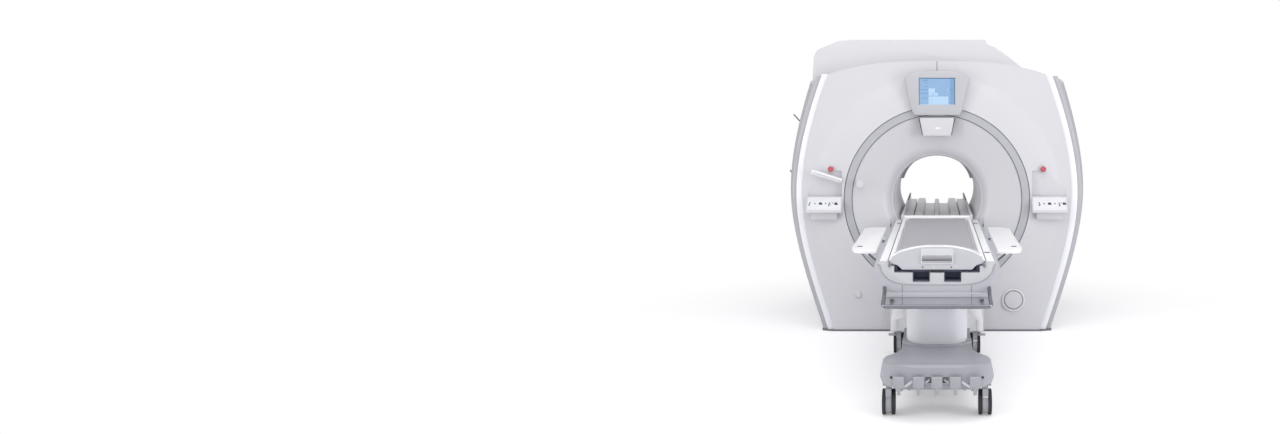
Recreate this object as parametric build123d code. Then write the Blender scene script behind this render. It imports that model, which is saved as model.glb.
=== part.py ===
from build123d import *
import os
from math import sqrt

# Magnetic resonance scanner with its patient table docked in front. Millimetres.
# +X points right and +Y along the bore, from the patient end to the service end.
# The origin is the point on the floor under the middle of the bore.

# Clearances
SEAT_GAP = 0.3        # between faces that rest against each other
RUN_GAP = 0.08        # radial, between a pin and its hole
SEAM_GAP = 3.0        # visible seam between neighbouring covers

# Lengths along the bore: the covers follow the magnet, and the table follows the covers
VESSEL_LENGTH = 1160.0
TABLE_LENGTH = 2208.0
FRONT_Y = -VESSEL_LENGTH / 2
BACK_Y = VESSEL_LENGTH / 2
BORE_START_Y = FRONT_Y - 25.0
BORE_END_Y = BACK_Y + 20.0
COVER_FACE_Y = FRONT_Y - 185.0
REAR_FACE_Y = BACK_Y + 220.0
TABLE_FAR_Y = COVER_FACE_Y + 53.0
TABLE_NEAR_Y = TABLE_FAR_Y - TABLE_LENGTH

# Bore and magnet
ISO_Z = 1075.0        # height of the bore's axis
BORE_R = 350.0
BORE_WALL = 6.0
ARCH_R = 325.0        # smaller arch inside the far end
ARCH_FOOT_Z = 1168.0
ARCH_LENGTH = 90.0
BODY_COIL_WALL = 14.0
COIL_LAYER_GAP = 1.0
VESSEL_BORE_R = 455.0
VESSEL_R = 950.0
VESSEL_WALL = 20.0
COIL_PACK_R = 560.0
COIL_PACK_WALL = 40.0
WINDING_DEPTH = 70.0
WINDING_LENGTH = 190.0
TURRET_X = -480.0
TURRET_R = 120.0
TURRET_TOP_Z = 2090.0
COLD_HEAD_R = 62.0
COLD_HEAD_HEIGHT = 200.0
FOOT_X = 545.0
FOOT_Y = 400.0
FOOT_SIZE = 170.0

# Gantry outline: half widths of the front cover at five heights
BASE_HALF = 834.0
LOW_HALF = 978.0
WAIST_HALF = 1080.0
SHOULDER_HALF = 999.0
TOP_HALF = 860.0
LOW_Z = 480.0
WAIST_Z = 1110.0
SHOULDER_Z = 1650.0
COVER_TOP_Z = 2075.0
BROW_X = 470.0
BROW_Z = COVER_TOP_Z + 85.0
CROWN_Z = COVER_TOP_Z + 103.0
COVER_WALL = 8.0
PAN_HEIGHT = 12.0
PAN_HALF = 938.0
PAN_FRONT_Y = COVER_FACE_Y - 10.0

# Front cover, funnel and ring
COVER_BACK_Y = BORE_START_Y
DOME_R = 1010.0
DOME_MID_R = 880.0
DOME_MID_Y = COVER_FACE_Y - 27.0
DOME_TOP_Y = COVER_FACE_Y - 47.0
RING_R = 742.0
RING_WIDTH = 62.0
RING_FACE_Y = COVER_FACE_Y - 41.0
RING_DEPTH = 20.0
FLANGE_R = RING_R + 6.5
FUNNEL_WALL = 8.0
FUNNEL_RIM_Y = COVER_FACE_Y - 35.0
FUNNEL_BEND_R = BORE_R + 100.0
FUNNEL_BEND_Y = COVER_FACE_Y + 49.0
FUNNEL_LIP_R = BORE_R + 36.0
FUNNEL_LIP_Y = COVER_FACE_Y + 88.0

# Strips, trims, side covers
STRIP_WIDTH = 52.0
STRIP_FACE_Y = COVER_FACE_Y + 11.0
STRIP_DEPTH = 40.0
TRIM_WIDTH = 32.0
TRIM_FACE_Y = COVER_FACE_Y + 27.0
TRIM_DEPTH = 60.0
TRIM_TOP_Z = COVER_TOP_Z - 13.0
SIDE_OUT = 108.0      # side cover's outer face beyond the front cover's edge
SIDE_FLARE = 36.0     # how much further out it stands at the top
SIDE_WRAP_Y = COVER_FACE_Y + 49.0
SIDE_FACE_Y = COVER_FACE_Y + 150.0
SIDE_BACK_Y = BACK_Y + 80.0
SIDE_TOP_Z = COVER_TOP_Z - 53.0

# Top cover: it stands higher on the left and steps down on the right
TOP_FACE_Y = FRONT_Y - 22.0
TOP_BACK_Y = BACK_Y + 76.0
TOP_COVER_HALF = TOP_HALF + 150.0
TOP_LIP = 12.0          # foot flange of the top cover, over the side covers' edges
TOP_Z = SIDE_TOP_Z + 335.0
TOP_STEP_X = 395.0
TOP_STEP_Z = TOP_Z - 32.0

# Rear cover
REAR_OUT = 90.0
REAR_BEVEL = 60.0
REAR_MOUTH_R = 530.0
REAR_FLANGE = 20.0

# Display, lamp housing, shelves and small fittings
BEZEL_FACE_Y = COVER_FACE_Y - 97.0
SCREEN_HALF = 140.0
SCREEN_LOW_Z = 1831.0
SCREEN_HIGH_Z = 2040.0
SCREEN_DEPTH = 4.0
LASER_FACE_Y = COVER_FACE_Y - 85.0
SHELF_X = 898.0
SHELF_HALF = 140.0
SHELF_TOP_Z = 1106.0
SHELF_LIP_Z = 992.0
SHELF_FRONT_Y = COVER_FACE_Y - 123.0
SHELF_LOW_Z = 925.0
SHELF_BACK_Y = COVER_FACE_Y + 13.0
SCOOP_TOP_Z = 1312.0
STOP_X = 845.0
STOP_Z = 1325.0
STOP_R = 23.0
STOP_STEM_R = 8.0
STOP_TRAVEL = 6.0
COLLAR_R = 29.0
COLLAR_RISE = 16.0
REST_BAR_R = 13.0
REST_XS = (-985.0, -764.0)   # the two ends of the cable rest bar
REST_ZS = (1302.0, 1234.0)
PORT_X = 620.0
PORT_Z = 262.0
PORT_FACE_Y = COVER_FACE_Y - 23.0
PORT_R = 92.0
CAP_R = 74.0
DOME_CAP_X = -640.0
DOME_CAP_Z = 305.0
HOOK_X = -610.0
HOOK_Z = 1211.0

# Dock
BAY_HALF = 373.0
BAY_LOW_Z = 580.0
BAY_BACK_Y = COVER_FACE_Y + 67.0
BAY_WALL = 6.0
DOCK_HALF = 382.0
DOCK_HEIGHT = 300.0
DOCK_FACE_Y = COVER_FACE_Y - 67.0
TONGUE_HALF = 70.0
TONGUE_LOW_Z = 92.0
TONGUE_HIGH_Z = 136.0
SOCKET_END_Y = COVER_FACE_Y - 20.0   # blind end of the socket, in front of the cover

# Bridge through the bore, and the pedestal behind
BRIDGE_START_Y = COVER_FACE_Y + 75.0
BRIDGE_END_Y = REAR_FACE_Y + 680.0
SLIDE_Z = 895.0       # height of the faces that the cradle slides on
GUIDE_HALF = 272.0    # inner face of the guide rails
GUIDE_WALL = 18.0
GUIDE_TOP_Z = 944.0
BLOCK_IN_X = 122.0
BLOCK_OUT_X = 192.0
RIB_HALF = 26.0
BRIDGE_FLOOR_Z = 842.0
BRIDGE_WALL = 14.0
PEDESTAL_Y = BRIDGE_END_Y - 360.0
PEDESTAL_HALF = 210.0
PEDESTAL_WALL = 24.0

# Table top
RAIL_TOP_Z = 910.0
RAIL_OUT = 332.0
RAIL_IN = 270.0
LEDGE_IN = 230.0
SHELL_HALF = 359.0
SHELL_WIDE_Z = 876.0
SHELL_KNEE_X = 306.0
SHELL_KNEE_Z = 762.0
SHELL_LIP_X = 286.0
SHELL_LIP_Z = 713.0
SHELL_WALL = 6.0
SKIRT_HALF = 280.0
SKIRT_LOW_Z = 660.0
SHELL_SETBACK = 6.0    # the shell's near face behind the foot end
SHELL_TAPER_Y = TABLE_FAR_Y - 348.0   # where the trough starts to get shallower
SHELL_RISE_Y = TABLE_FAR_Y - 128.0     # and where it is shallow
SKIRT_FAR_Y = TABLE_FAR_Y - 588.0
SHELL_TIP_Z = 800.0
LIP_RISE = 12.0        # the foot end's lip stands this far out
LIP_HEIGHT = 26.0
BUMPER_LOW_Z = 783.0
BUMPER_TOP_Z = 853.0
BUMPER_GAP_X = 243.0
BUMPER_DEPTH = 60.0
SOCKET_IN = 41.0
SOCKET_OUT = 138.0
SOCKET_LOW_Z = 798.0
LIFT_TRAVEL = 200.0

# Cradle
CRADLE_HALF = 267.0
CRADLE_RIM_Z = 936.0
CRADLE_FLOOR_Z = 905.0
CRADLE_END_RISE = 10.0
PAD_HALF = 241.0
PAD_TOP_Z = 930.0
PANEL_TOP_Z = 1011.0
PANEL_SIDE_Z = 976.0
PANEL_LOW_Z = 870.0
PANEL_THICK = 30.0
PANEL_HALF = 262.0
PANEL_ARC_HALF = 228.0
GRIP_HALF = 85.0
GRIP_LOW_Z = 910.0
GRIP_HIGH_Z = 952.0

# Arm boards
ARM_IN = 379.0
ARM_OUT = 540.0
ARM_NEAR_Y = TABLE_NEAR_Y + 500.0
ARM_FAR_Y = TABLE_FAR_Y - 523.0
ARM_TOP_Z = 910.0
ARM_THICK = 22.0
ARM_PIVOT_X = 374.0
ARM_PIVOT_Z = 838.0
ARM_PIN_R = 6.0
HANGER_WIDTH = 44.0
LUG_WIDTH = 14.0

# Push bar
BAR_Z = 688.0
BAR_Y = TABLE_NEAR_Y - 150.0
BAR_HALF = 300.0
BAR_R = 11.5
BAR_BEND = 14.0
BAR_END_Z = 764.0     # where the ends go into the shell
BRACKET_X = 256.0
BRACKET_R = 9.0

# Column, lift and base
COLUMN_HALF = 188.0
COLUMN_FRONT_Y = TABLE_NEAR_Y + 320.0
COLUMN_BACK_Y = TABLE_FAR_Y - 908.0
COLUMN_WALL = 6.0
COLUMN_ROUND = 130.0
COLUMN_GAP = 4.0        # between the shroud and the pan that it sinks into
COVER_FRONT_Y = TABLE_NEAR_Y - 78.0
COVER_REAR_Y = COLUMN_FRONT_Y + 150.0
WING_HALF = 328.0
HOOD_TOP_Z = 346.5
HOOD_LOW_Z = 206.0
HOOD_RIM_Z = 358.0      # raised rim round the well
HOOD_RIM_WIDTH = 26.0
HOOD_WALL = 8.0
HOOD_FRONT_WALL = 22.0
HOOD_TAIL_HALF = 214.0  # half width of the tails beside the column
WELL_GAP = 5.0          # between the shroud and the hood
PAN_WALL = 6.0          # walls of the lift's pan between the beams
LIFT_PAN_Z = 102.0      # underside of the pan's floor
PLATE_REACH = 32.0      # how far the caster plates go beyond the swivel axes
PLATE_HALF = 34.0
LUG_X = 160.0           # lugs that carry the pedals' shaft
BEAM_X = 216.0
BEAM_LOW_Z = 160.0
BEAM_HIGH_Z = 210.0
BEAM_WIDTH = 38.0
LEG_IN = 205.0
LEG_OUT = 334.0
LEG_TOP_Z = 430.0
LEG_LOW_Z = 190.0
LEG_SLANT_Z = 275.0
RAM_R = 28.0
CYLINDER_R = 44.0
POST_HALF = 20.0
POST_Y = 300.0        # guide posts stand this far from the ram
LIFT_CLEAR = 10.0     # what is left between the lift's parts at its lowest
LIFT_Y = (COLUMN_FRONT_Y + COLUMN_BACK_Y) / 2
LIFT_PLATE = 12.0
HEAD_PLATE = 16.0
LIFT_PLATE_HALF = 140.0
LIFT_PLATE_REACH = 370.0

# Casters
CASTER_X = 281.0
FRONT_CASTER_Y = TABLE_NEAR_Y + 86.0
REAR_CASTER_Y = TABLE_FAR_Y - 728.0
WHEEL_R = 75.0
TYRE_WIDTH = 20.0
TYRE_SPACING = 55.0
TRAIL = 34.0
AXLE_R = 6.0
STEM_R = 11.0
FORK_TOP_Z = 168.0
CASTER_PLATE_Z = 190.0
PLATE_THICK = 14.0
FAIRING_GAP = 8.0     # between the fork's round end and the tread

# Pedals
PEDAL_XS = (-216.0, -104.0, 0.0, 104.0, 216.0)
PEDAL_WIDTH = 62.0
PEDAL_FRONT_Y = TABLE_NEAR_Y - 110.0
PEDAL_PIVOT_Y = TABLE_NEAR_Y + 20.0
PEDAL_PIVOT_Z = 236.0
PEDAL_HIGH_Z = 277.0
PEDAL_LOW_Z = 211.0
PEDAL_STEM_Z = 171.0
PEDAL_NOTCH_Z = PEDAL_HIGH_Z - 9.0
PEDAL_PIN_R = 5.0
RIB_Y = PEDAL_PIVOT_Y + 30.0   # rib under the hood, on the beams

RING_AXIS = Axis((0, 0, ISO_Z), (0, 1, 0))
FAR = 6000.0          # size of the blocks that cut half spaces


def block(x0, x1, y0, y1, z0, z1):
    size = (x1 - x0, y1 - y0, z1 - z0)
    middle = ((x0 + x1) / 2, (y0 + y1) / 2, (z0 + z1) / 2)
    return Pos(*middle) * Box(*size)


def prism_y(points, y0, y1):
    # Points are (x, z) pairs.
    face = make_face(Polyline(*[(x, y0, z) for x, z in points], close=True))
    return extrude(face, amount=y1 - y0, dir=(0, 1, 0))


def prism_x(points, x0, x1):
    # Points are (y, z) pairs.
    face = make_face(Polyline(*[(x0, y, z) for y, z in points], close=True))
    return extrude(face, amount=x1 - x0, dir=(1, 0, 0))


def prism_z(points, z0, z1):
    face = make_face(Polyline(*[(x, y, z0) for x, y in points], close=True))
    return extrude(face, amount=z1 - z0, dir=(0, 0, 1))


def rod(start, end, radius):
    start, end = Vector(*start), Vector(*end)
    plane = Plane(origin=start, z_dir=end - start)
    return extrude(plane * Circle(radius), amount=(end - start).length)


def turned(points):
    # Revolves (radius, y) points round the bore's axis.
    face = make_face(Polyline(*[(r, y, ISO_Z) for r, y in points], close=True))
    return revolve(face, RING_AXIS, 360)


def tube_y(inner, outer, y0, y1):
    return turned([(inner, y0), (outer, y0), (outer, y1), (inner, y1)])


def disc_y(radius, y0, y1):
    return turned([(0, y0), (radius, y0), (radius, y1), (0, y1)])


def fuse(shapes):
    result = shapes[0]
    for shape in shapes[1:]:
        result = result + shape
    return result


def group(shapes):
    return Compound(children=list(shapes))


def mirrored(shape):
    return mirror(shape, about=Plane.YZ)


def both_sides(shape):
    return group([shape, mirrored(shape)])


# Gantry outline

def edge_line(out, flare, y):
    # The barrel-shaped right edge, moved out by a width that grows to the top by flare.
    halves = (BASE_HALF, LOW_HALF, WAIST_HALF, SHOULDER_HALF, TOP_HALF)
    heights = (0.0, LOW_Z, WAIST_Z, SHOULDER_Z, COVER_TOP_Z)
    points = []
    for half, z in zip(halves, heights):
        points.append((half + out + flare * (z / COVER_TOP_Z) ** 2, y, z))
    return Spline(*points)


def edge_band(inner, outer, flare_in, flare_out, y):
    # The face between two edge lines, on the right.
    near = edge_line(inner, flare_in, y)
    far = edge_line(outer, flare_out, y)
    head = Line(near @ 1, far @ 1)
    foot = Line(near @ 0, far @ 0)
    return Face(Wire([near.edge(), head.edge(), far.edge(), foot.edge()]))


def front_outline(out, inset, y):
    # The whole front face, arched at the top; inset lowers the arch.
    right = edge_line(out, 0.0, y)
    left = mirror(right, about=Plane.YZ)
    corner = right @ 1
    arch = Spline(
        corner,
        (BROW_X, y, BROW_Z),
        (0, y, CROWN_Z),
        (-BROW_X, y, BROW_Z),
        (-corner.X, y, corner.Z),
    )
    foot = Line(right @ 0, left @ 0)
    face = Face(Wire([right.edge(), arch.edge(), left.edge(), foot.edge()]))
    return Pos(0, 0, -inset) * face


def floor_cut(height):
    return block(-FAR, FAR, -FAR, FAR, -FAR, height)


def extrude_y(face, depth):
    return extrude(face, amount=depth, dir=(0, 1, 0))


# Front cover

def dome_solid(shift, inset):
    # The raised zone round the ring, from the crease inwards.
    y = COVER_FACE_Y + shift
    rise = ThreePointArc(
        (DOME_R - inset, y, ISO_Z),
        (DOME_MID_R, DOME_MID_Y + shift, ISO_Z),
        (RING_R, DOME_TOP_Y + shift, ISO_Z),
    )
    path = Polyline(rise @ 1, (RING_R, y + 1, ISO_Z), (DOME_R - inset, y + 1, ISO_Z), rise @ 0)
    return revolve(make_face(rise + path), RING_AXIS, 360)


def scoop(side, inset):
    # The hollow over a keypad: a wedge that gets deeper towards the shelf.
    low = SHELF_LIP_Z - 10 - inset
    points = [
        (FAR / -4, SCOOP_TOP_Z + inset),
        (DOME_MID_Y + 2 + inset, SCOOP_TOP_Z + inset),
        (SHELF_BACK_Y + inset, SHELF_TOP_Z - 20),
        (SHELF_BACK_Y + inset, low),
        (FAR / -4, low),
    ]
    x = side * SHELF_X
    return prism_x(points, x - SHELF_HALF - inset, x + SHELF_HALF + inset)


def cover_mass():
    # The front cover as if it were solid.
    slab = extrude_y(front_outline(0.0, 0.0, COVER_FACE_Y), COVER_BACK_Y - COVER_FACE_Y)
    mass = slab + dome_solid(0.0, 0.0)
    for side in (-1, 1):
        mass = mass - scoop(side, 0.0)
    return mass - floor_cut(PAN_HEIGHT + SEAT_GAP)


def cover_hollow():
    face = front_outline(-COVER_WALL, COVER_WALL, COVER_FACE_Y + COVER_WALL)
    hollow = extrude_y(face, COVER_BACK_Y - COVER_FACE_Y) + dome_solid(COVER_WALL, COVER_WALL)
    for side in (-1, 1):
        hollow = hollow - scoop(side, COVER_WALL)
    return hollow + block(-BASE_HALF + COVER_WALL, BASE_HALF - COVER_WALL,
                          COVER_FACE_Y + COVER_WALL, 0, -FAR, PAN_HEIGHT + COVER_WALL)


def front_covers(mass):
    shell = mass - cover_hollow()
    shell = shell - disc_y(RING_R + SEAM_GAP, -FAR, FAR)
    half = SEAM_GAP / 2
    left = shell & block(-FAR, -half, -FAR, FAR, -FAR, FAR)
    right = shell & block(half, FAR, -FAR, FAR, -FAR, FAR)
    return left, right


# Funnel, ring and bore

def funnel_line(shift):
    # The funnel's face as (radius, y) edges: a shallow dish, then a rounded lip into the bore.
    rim = (RING_R - RING_WIDTH - SEAM_GAP, FUNNEL_RIM_Y + shift, ISO_Z)
    bend = (FUNNEL_BEND_R + shift / 3, FUNNEL_BEND_Y + shift, ISO_Z)
    lip = (FUNNEL_LIP_R + 0.7 * shift, FUNNEL_LIP_Y + 0.7 * shift, ISO_Z)
    throat = (BORE_R + shift, BORE_START_Y - SEAT_GAP, ISO_Z)
    return Line(rim, bend), ThreePointArc(bend, lip, throat)


def funnel_front_space():
    # Everything in front of the funnel's face, out to the ring.
    dish, lip = funnel_line(0.0)
    rim, throat = dish @ 0, lip @ 1
    border = Polyline(
        throat, (0, throat.Y, ISO_Z), (0, -FAR, ISO_Z), (rim.X, -FAR, ISO_Z), rim
    )
    return revolve(make_face(dish + lip + border), RING_AXIS, 360)


def bore_funnel():
    dish, lip = funnel_line(0.0)
    rim, bend, throat = dish @ 0, dish @ 1, lip @ 1
    flange_y = RING_FACE_Y + RING_DEPTH + SEAT_GAP
    back = FUNNEL_WALL
    border = Polyline(
        throat,
        (BORE_R + back, throat.Y, ISO_Z),
        (FUNNEL_LIP_R + back, FUNNEL_LIP_Y + back, ISO_Z),
        (bend.X + back / 2, bend.Y + back, ISO_Z),
        (rim.X - back, flange_y + back, ISO_Z),
        (FLANGE_R, flange_y + back, ISO_Z),
        (FLANGE_R, flange_y, ISO_Z),
        (rim.X, flange_y, ISO_Z),
        rim,
    )
    panel = revolve(make_face(dish + lip + border), RING_AXIS, 360)
    return panel - bay_space(BAY_WALL + SEAT_GAP)


def bay_space(grow):
    half = BAY_HALF + grow
    top = BRIDGE_FLOOR_Z - BRIDGE_WALL - SEAT_GAP
    low = block(-half, half, -FAR, BAY_BACK_Y + grow, BAY_LOW_Z - grow, top)
    high = block(-half, half, -FAR, BAY_BACK_Y + grow, top - 1, GUIDE_TOP_Z)
    return low + high


def dock_bay():
    # A recess below the bore, in which the table top rises and sinks.
    top = BRIDGE_FLOOR_Z - BRIDGE_WALL - SEAT_GAP
    half = BAY_HALF + BAY_WALL
    tray = block(-half, half, FUNNEL_RIM_Y, BAY_BACK_Y + BAY_WALL, BAY_LOW_Z - BAY_WALL, top)
    tray = tray - bay_space(0.0)
    return tray - Pos(0, 2, 0) * funnel_front_space()


def ring_trim():
    inner = RING_R - RING_WIDTH
    bevel = 3.0
    back = RING_FACE_Y + RING_DEPTH
    return turned([
        (inner, back),
        (inner, RING_FACE_Y + bevel),
        (inner + bevel, RING_FACE_Y),
        (RING_R - bevel, RING_FACE_Y),
        (RING_R, RING_FACE_Y + bevel),
        (RING_R, back),
    ])


def bore_liner():
    liner = tube_y(BORE_R, BORE_R + BORE_WALL, BORE_START_Y, BORE_END_Y)
    arch = tube_y(ARCH_R, BORE_R + 1, BORE_END_Y - ARCH_LENGTH, BORE_END_Y)
    arch = arch & block(-FAR, FAR, -FAR, FAR, ARCH_FOOT_Z, FAR)
    return liner + arch


def body_coil_radii():
    inner = BORE_R + BORE_WALL + COIL_LAYER_GAP / 2
    return inner, inner + BODY_COIL_WALL


def gradient_radii():
    inner = body_coil_radii()[1] + COIL_LAYER_GAP / 2
    return inner, VESSEL_BORE_R - COIL_LAYER_GAP / 2


def rf_body_coil():
    inner, outer = body_coil_radii()
    half = VESSEL_LENGTH / 2 - 60
    return tube_y(inner, outer, -half, half)


def gradient_coil():
    inner, outer = gradient_radii()
    half = VESSEL_LENGTH / 2 - 20
    return tube_y(inner, outer, -half, half)


# Magnet

def vacuum_vessel():
    half = VESSEL_LENGTH / 2
    outer = tube_y(VESSEL_BORE_R, VESSEL_R, -half, half)
    neck = Pos(TURRET_X, 0, 0) * Cylinder(
        TURRET_R, TURRET_TOP_Z - ISO_Z, align=(Align.CENTER, Align.CENTER, Align.MIN)
    )
    neck = Pos(0, 0, ISO_Z) * neck - disc_y(VESSEL_R - VESSEL_WALL / 2, -FAR, FAR)
    inner_half = half - VESSEL_WALL
    hollow = tube_y(VESSEL_BORE_R + VESSEL_WALL, VESSEL_R - VESSEL_WALL, -inner_half, inner_half)
    throat = rod((TURRET_X, 0, ISO_Z + VESSEL_BORE_R + VESSEL_WALL + 250),
                 (TURRET_X, 0, TURRET_TOP_Z + 1), TURRET_R - VESSEL_WALL / 2)
    return outer + neck - hollow - throat


def magnet_coils():
    # The former with its main windings as collars; it rests on posts inside the vessel.
    inner, outer = COIL_PACK_R, COIL_PACK_R + COIL_PACK_WALL
    half = VESSEL_LENGTH / 2 - VESSEL_WALL - 30
    crest = outer + WINDING_DEPTH
    points = [(inner, -half), (outer, -half)]
    for middle in (-half * 0.62, half * 0.62):
        start, end = middle - WINDING_LENGTH / 2, middle + WINDING_LENGTH / 2
        points += [(outer, start), (crest, start), (crest, end), (outer, end)]
    points += [(outer, half), (inner, half)]
    pack = turned(points)
    low = ISO_Z - VESSEL_R + VESSEL_WALL + SEAT_GAP
    for y in (-half * 0.62, half * 0.62):
        post = block(-60, 60, y - 40, y + 40, low, ISO_Z - outer - WINDING_DEPTH / 2)
        pack = pack + (post & disc_y(VESSEL_R - VESSEL_WALL - SEAT_GAP, -FAR, FAR))
    return pack


def cold_head():
    flange_z = TURRET_TOP_Z + SEAT_GAP
    flange = rod((TURRET_X, 0, flange_z), (TURRET_X, 0, flange_z + 16), TURRET_R)
    top = TURRET_TOP_Z + COLD_HEAD_HEIGHT
    body = rod((TURRET_X, 0, flange_z + 8), (TURRET_X, 0, top), COLD_HEAD_R)
    finger = rod((TURRET_X, 0, flange_z - 180), (TURRET_X, 0, flange_z + 8), COLD_HEAD_R * 0.7)
    motor = block(TURRET_X, TURRET_X + 150, -45, 45, top - 130, top - 30)
    return fuse([flange, body, finger, motor])


def magnet_feet():
    feet = []
    saddle = disc_y(VESSEL_R + SEAT_GAP, -FAR, FAR)
    half = FOOT_SIZE / 2
    for x in (-FOOT_X, FOOT_X):
        for y in (-FOOT_Y, FOOT_Y):
            foot = block(x - half, x + half, y - half, y + half, PAN_HEIGHT + SEAT_GAP, ISO_Z / 3)
            feet.append(foot - saddle)
    return group(feet)


def floor_pan():
    corner = 90.0
    back = REAR_FACE_Y - 30
    points = [
        (-PAN_HALF, PAN_FRONT_Y + corner / 3), (-PAN_HALF + corner, PAN_FRONT_Y),
        (PAN_HALF - corner, PAN_FRONT_Y), (PAN_HALF, PAN_FRONT_Y + corner / 3),
        (PAN_HALF, back), (-PAN_HALF, back),
    ]
    return prism_z(points, 0, PAN_HEIGHT)


# Strips, trims and side covers

def light_strip():
    face = edge_band(1.5, STRIP_WIDTH, 0.0, 0.0, STRIP_FACE_Y)
    return extrude_y(face, STRIP_DEPTH) - floor_cut(PAN_HEIGHT + SEAT_GAP)


def side_trim():
    start = STRIP_WIDTH + 1.0
    face = edge_band(start, start + TRIM_WIDTH, 0.0, SIDE_FLARE / 4, TRIM_FACE_Y)
    trim = extrude_y(face, TRIM_DEPTH) - floor_cut(PAN_HEIGHT + SEAT_GAP)
    top = block(0, FAR, -FAR, FAR, TRIM_TOP_Z, FAR)
    return trim - top


def side_cover():
    start = STRIP_WIDTH + TRIM_WIDTH + 2.0
    lean = SIDE_FLARE / 4
    wrap_face = edge_band(start, start + COVER_WALL, lean, lean, SIDE_WRAP_Y)
    wall_face = edge_band(SIDE_OUT - COVER_WALL, SIDE_OUT, SIDE_FLARE, SIDE_FLARE, SIDE_FACE_Y)
    wrap = loft([wrap_face, wall_face])
    wall = extrude_y(wall_face, SIDE_BACK_Y - SIDE_FACE_Y)
    cover = wrap + wall - floor_cut(PAN_HEIGHT + SEAT_GAP)
    return cover - block(0, FAR, -FAR, FAR, SIDE_TOP_Z, FAR)


def top_outline(inset):
    # From the left foot over the flat top to the right foot.
    left, right, top = inset - TOP_COVER_HALF, TOP_COVER_HALF - inset, TOP_Z - inset
    step_x, step_z = TOP_STEP_X - inset, TOP_STEP_Z - inset
    foot = SIDE_TOP_Z + SEAT_GAP
    return [
        (left, foot), (left + 16, top - 135), (left + 42, top - 80),
        (left + 118, top - 49), (left + 214, top - 10), (left + 330, top),
        (step_x, top), (step_x + 6, step_z), (step_x + 73, step_z - 28), (step_x + 147, step_z - 77),
        (step_x + 245, step_z - 153), (step_x + 325, step_z - 215), (right, step_z - 283), (right, foot),
    ]


def top_cover():
    outer = prism_y(top_outline(0.0), TOP_FACE_Y, TOP_BACK_Y)
    inner = prism_y(top_outline(COVER_WALL), TOP_FACE_Y + COVER_WALL, TOP_BACK_Y - COVER_WALL)
    half, foot = TOP_COVER_HALF + TOP_LIP, SIDE_TOP_Z + SEAT_GAP
    lip = block(-half, half, TOP_FACE_Y, TOP_BACK_Y, foot, foot + COVER_WALL)
    opening = block(COVER_WALL - TOP_COVER_HALF, TOP_COVER_HALF - COVER_WALL,
                    TOP_FACE_Y + COVER_WALL, TOP_BACK_Y - COVER_WALL, 0, foot + COVER_WALL)
    return outer + lip - inner - opening


def rear_cover():
    start, depth = SIDE_BACK_Y + SEAT_GAP, REAR_FACE_Y - SIDE_BACK_Y - SEAT_GAP
    plate = loft([front_outline(REAR_OUT, 0.0, start),
                  front_outline(REAR_OUT - REAR_BEVEL, REAR_BEVEL / 2, start + depth)])
    hollow = loft([front_outline(REAR_OUT - COVER_WALL, COVER_WALL, start),
                   front_outline(REAR_OUT - REAR_BEVEL - COVER_WALL, REAR_BEVEL / 2 + COVER_WALL,
                                 start + depth - COVER_WALL)])
    mouth = turned([(0, start), (BORE_R + COVER_WALL, start - 1), (REAR_MOUTH_R, REAR_FACE_Y),
                    (REAR_MOUTH_R, REAR_FACE_Y + 1), (0, REAR_FACE_Y + 1)])
    return plate - hollow - mouth - floor_cut(PAN_HEIGHT + SEAT_GAP)


def rear_funnel():
    # It widens from the bore to the rear cover's mouth, and a flange laps over the cover.
    throat_y, bend = BORE_END_Y + SEAT_GAP, SIDE_BACK_Y + SEAT_GAP + 1
    face = REAR_FACE_Y + SEAT_GAP
    back = face + COVER_WALL / 2
    r_in, r_out = BORE_R, REAR_MOUTH_R - SEAM_GAP
    return turned([
        (r_in, throat_y), (r_in + COVER_WALL, throat_y), (r_in + COVER_WALL, bend),
        (r_out, face), (r_out + REAR_FLANGE, face), (r_out + REAR_FLANGE, back),
        (r_out - COVER_WALL, back), (r_in, bend),
    ])


# Display, lamp housing, shelves and fittings, all seated on the covers' outer faces

def seated(shape, mass):
    return shape - Pos(0, -SEAT_GAP, 0) * mass


def display_bezel(mass):
    half, low, high = SCREEN_HALF, SCREEN_LOW_Z, SCREEN_HIGH_Z
    right = [(half + 38, low - 80), (half + 54, low - 49), (half + 116, high + 10), (half + 98, high + 26),
             (half + 12, high + 57)]
    outline = right + [(-x, z) for x, z in reversed(right)]
    body = prism_y(outline, BEZEL_FACE_Y, COVER_FACE_Y + 40)
    body = chamfer(body.faces().sort_by(Axis.Y)[0].edges(), 6)
    pocket = block(-SCREEN_HALF - 1, SCREEN_HALF + 1, BEZEL_FACE_Y - 9,
                   BEZEL_FACE_Y + SCREEN_DEPTH + 3 + SEAT_GAP, SCREEN_LOW_Z - 1, SCREEN_HIGH_Z + 1)
    ring_space = disc_y(RING_R + SEAM_GAP, RING_FACE_Y - SEAT_GAP, 0)
    body = seated(body, mass) - pocket - ring_space
    return body - block(-FAR, FAR, COVER_FACE_Y - SEAT_GAP, FAR, -FAR, FAR)


def display_screen():
    front = BEZEL_FACE_Y + 3
    return block(-SCREEN_HALF, SCREEN_HALF, front, front + SCREEN_DEPTH,
                 SCREEN_LOW_Z, SCREEN_HIGH_Z)


def laser_housing():
    outline = [(-112, 1585), (112, 1585), (140, 1734), (-140, 1734)]
    body = prism_y(outline, LASER_FACE_Y, FUNNEL_BEND_Y)
    body = chamfer(body.faces().sort_by(Axis.Y)[0].edges(), 8)
    rim_r = RING_R - RING_WIDTH - SEAM_GAP
    body = body & (Pos(0, -SEAT_GAP, 0) * funnel_front_space())
    return body & disc_y(rim_r - SEAT_GAP, -FAR, FAR)


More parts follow.
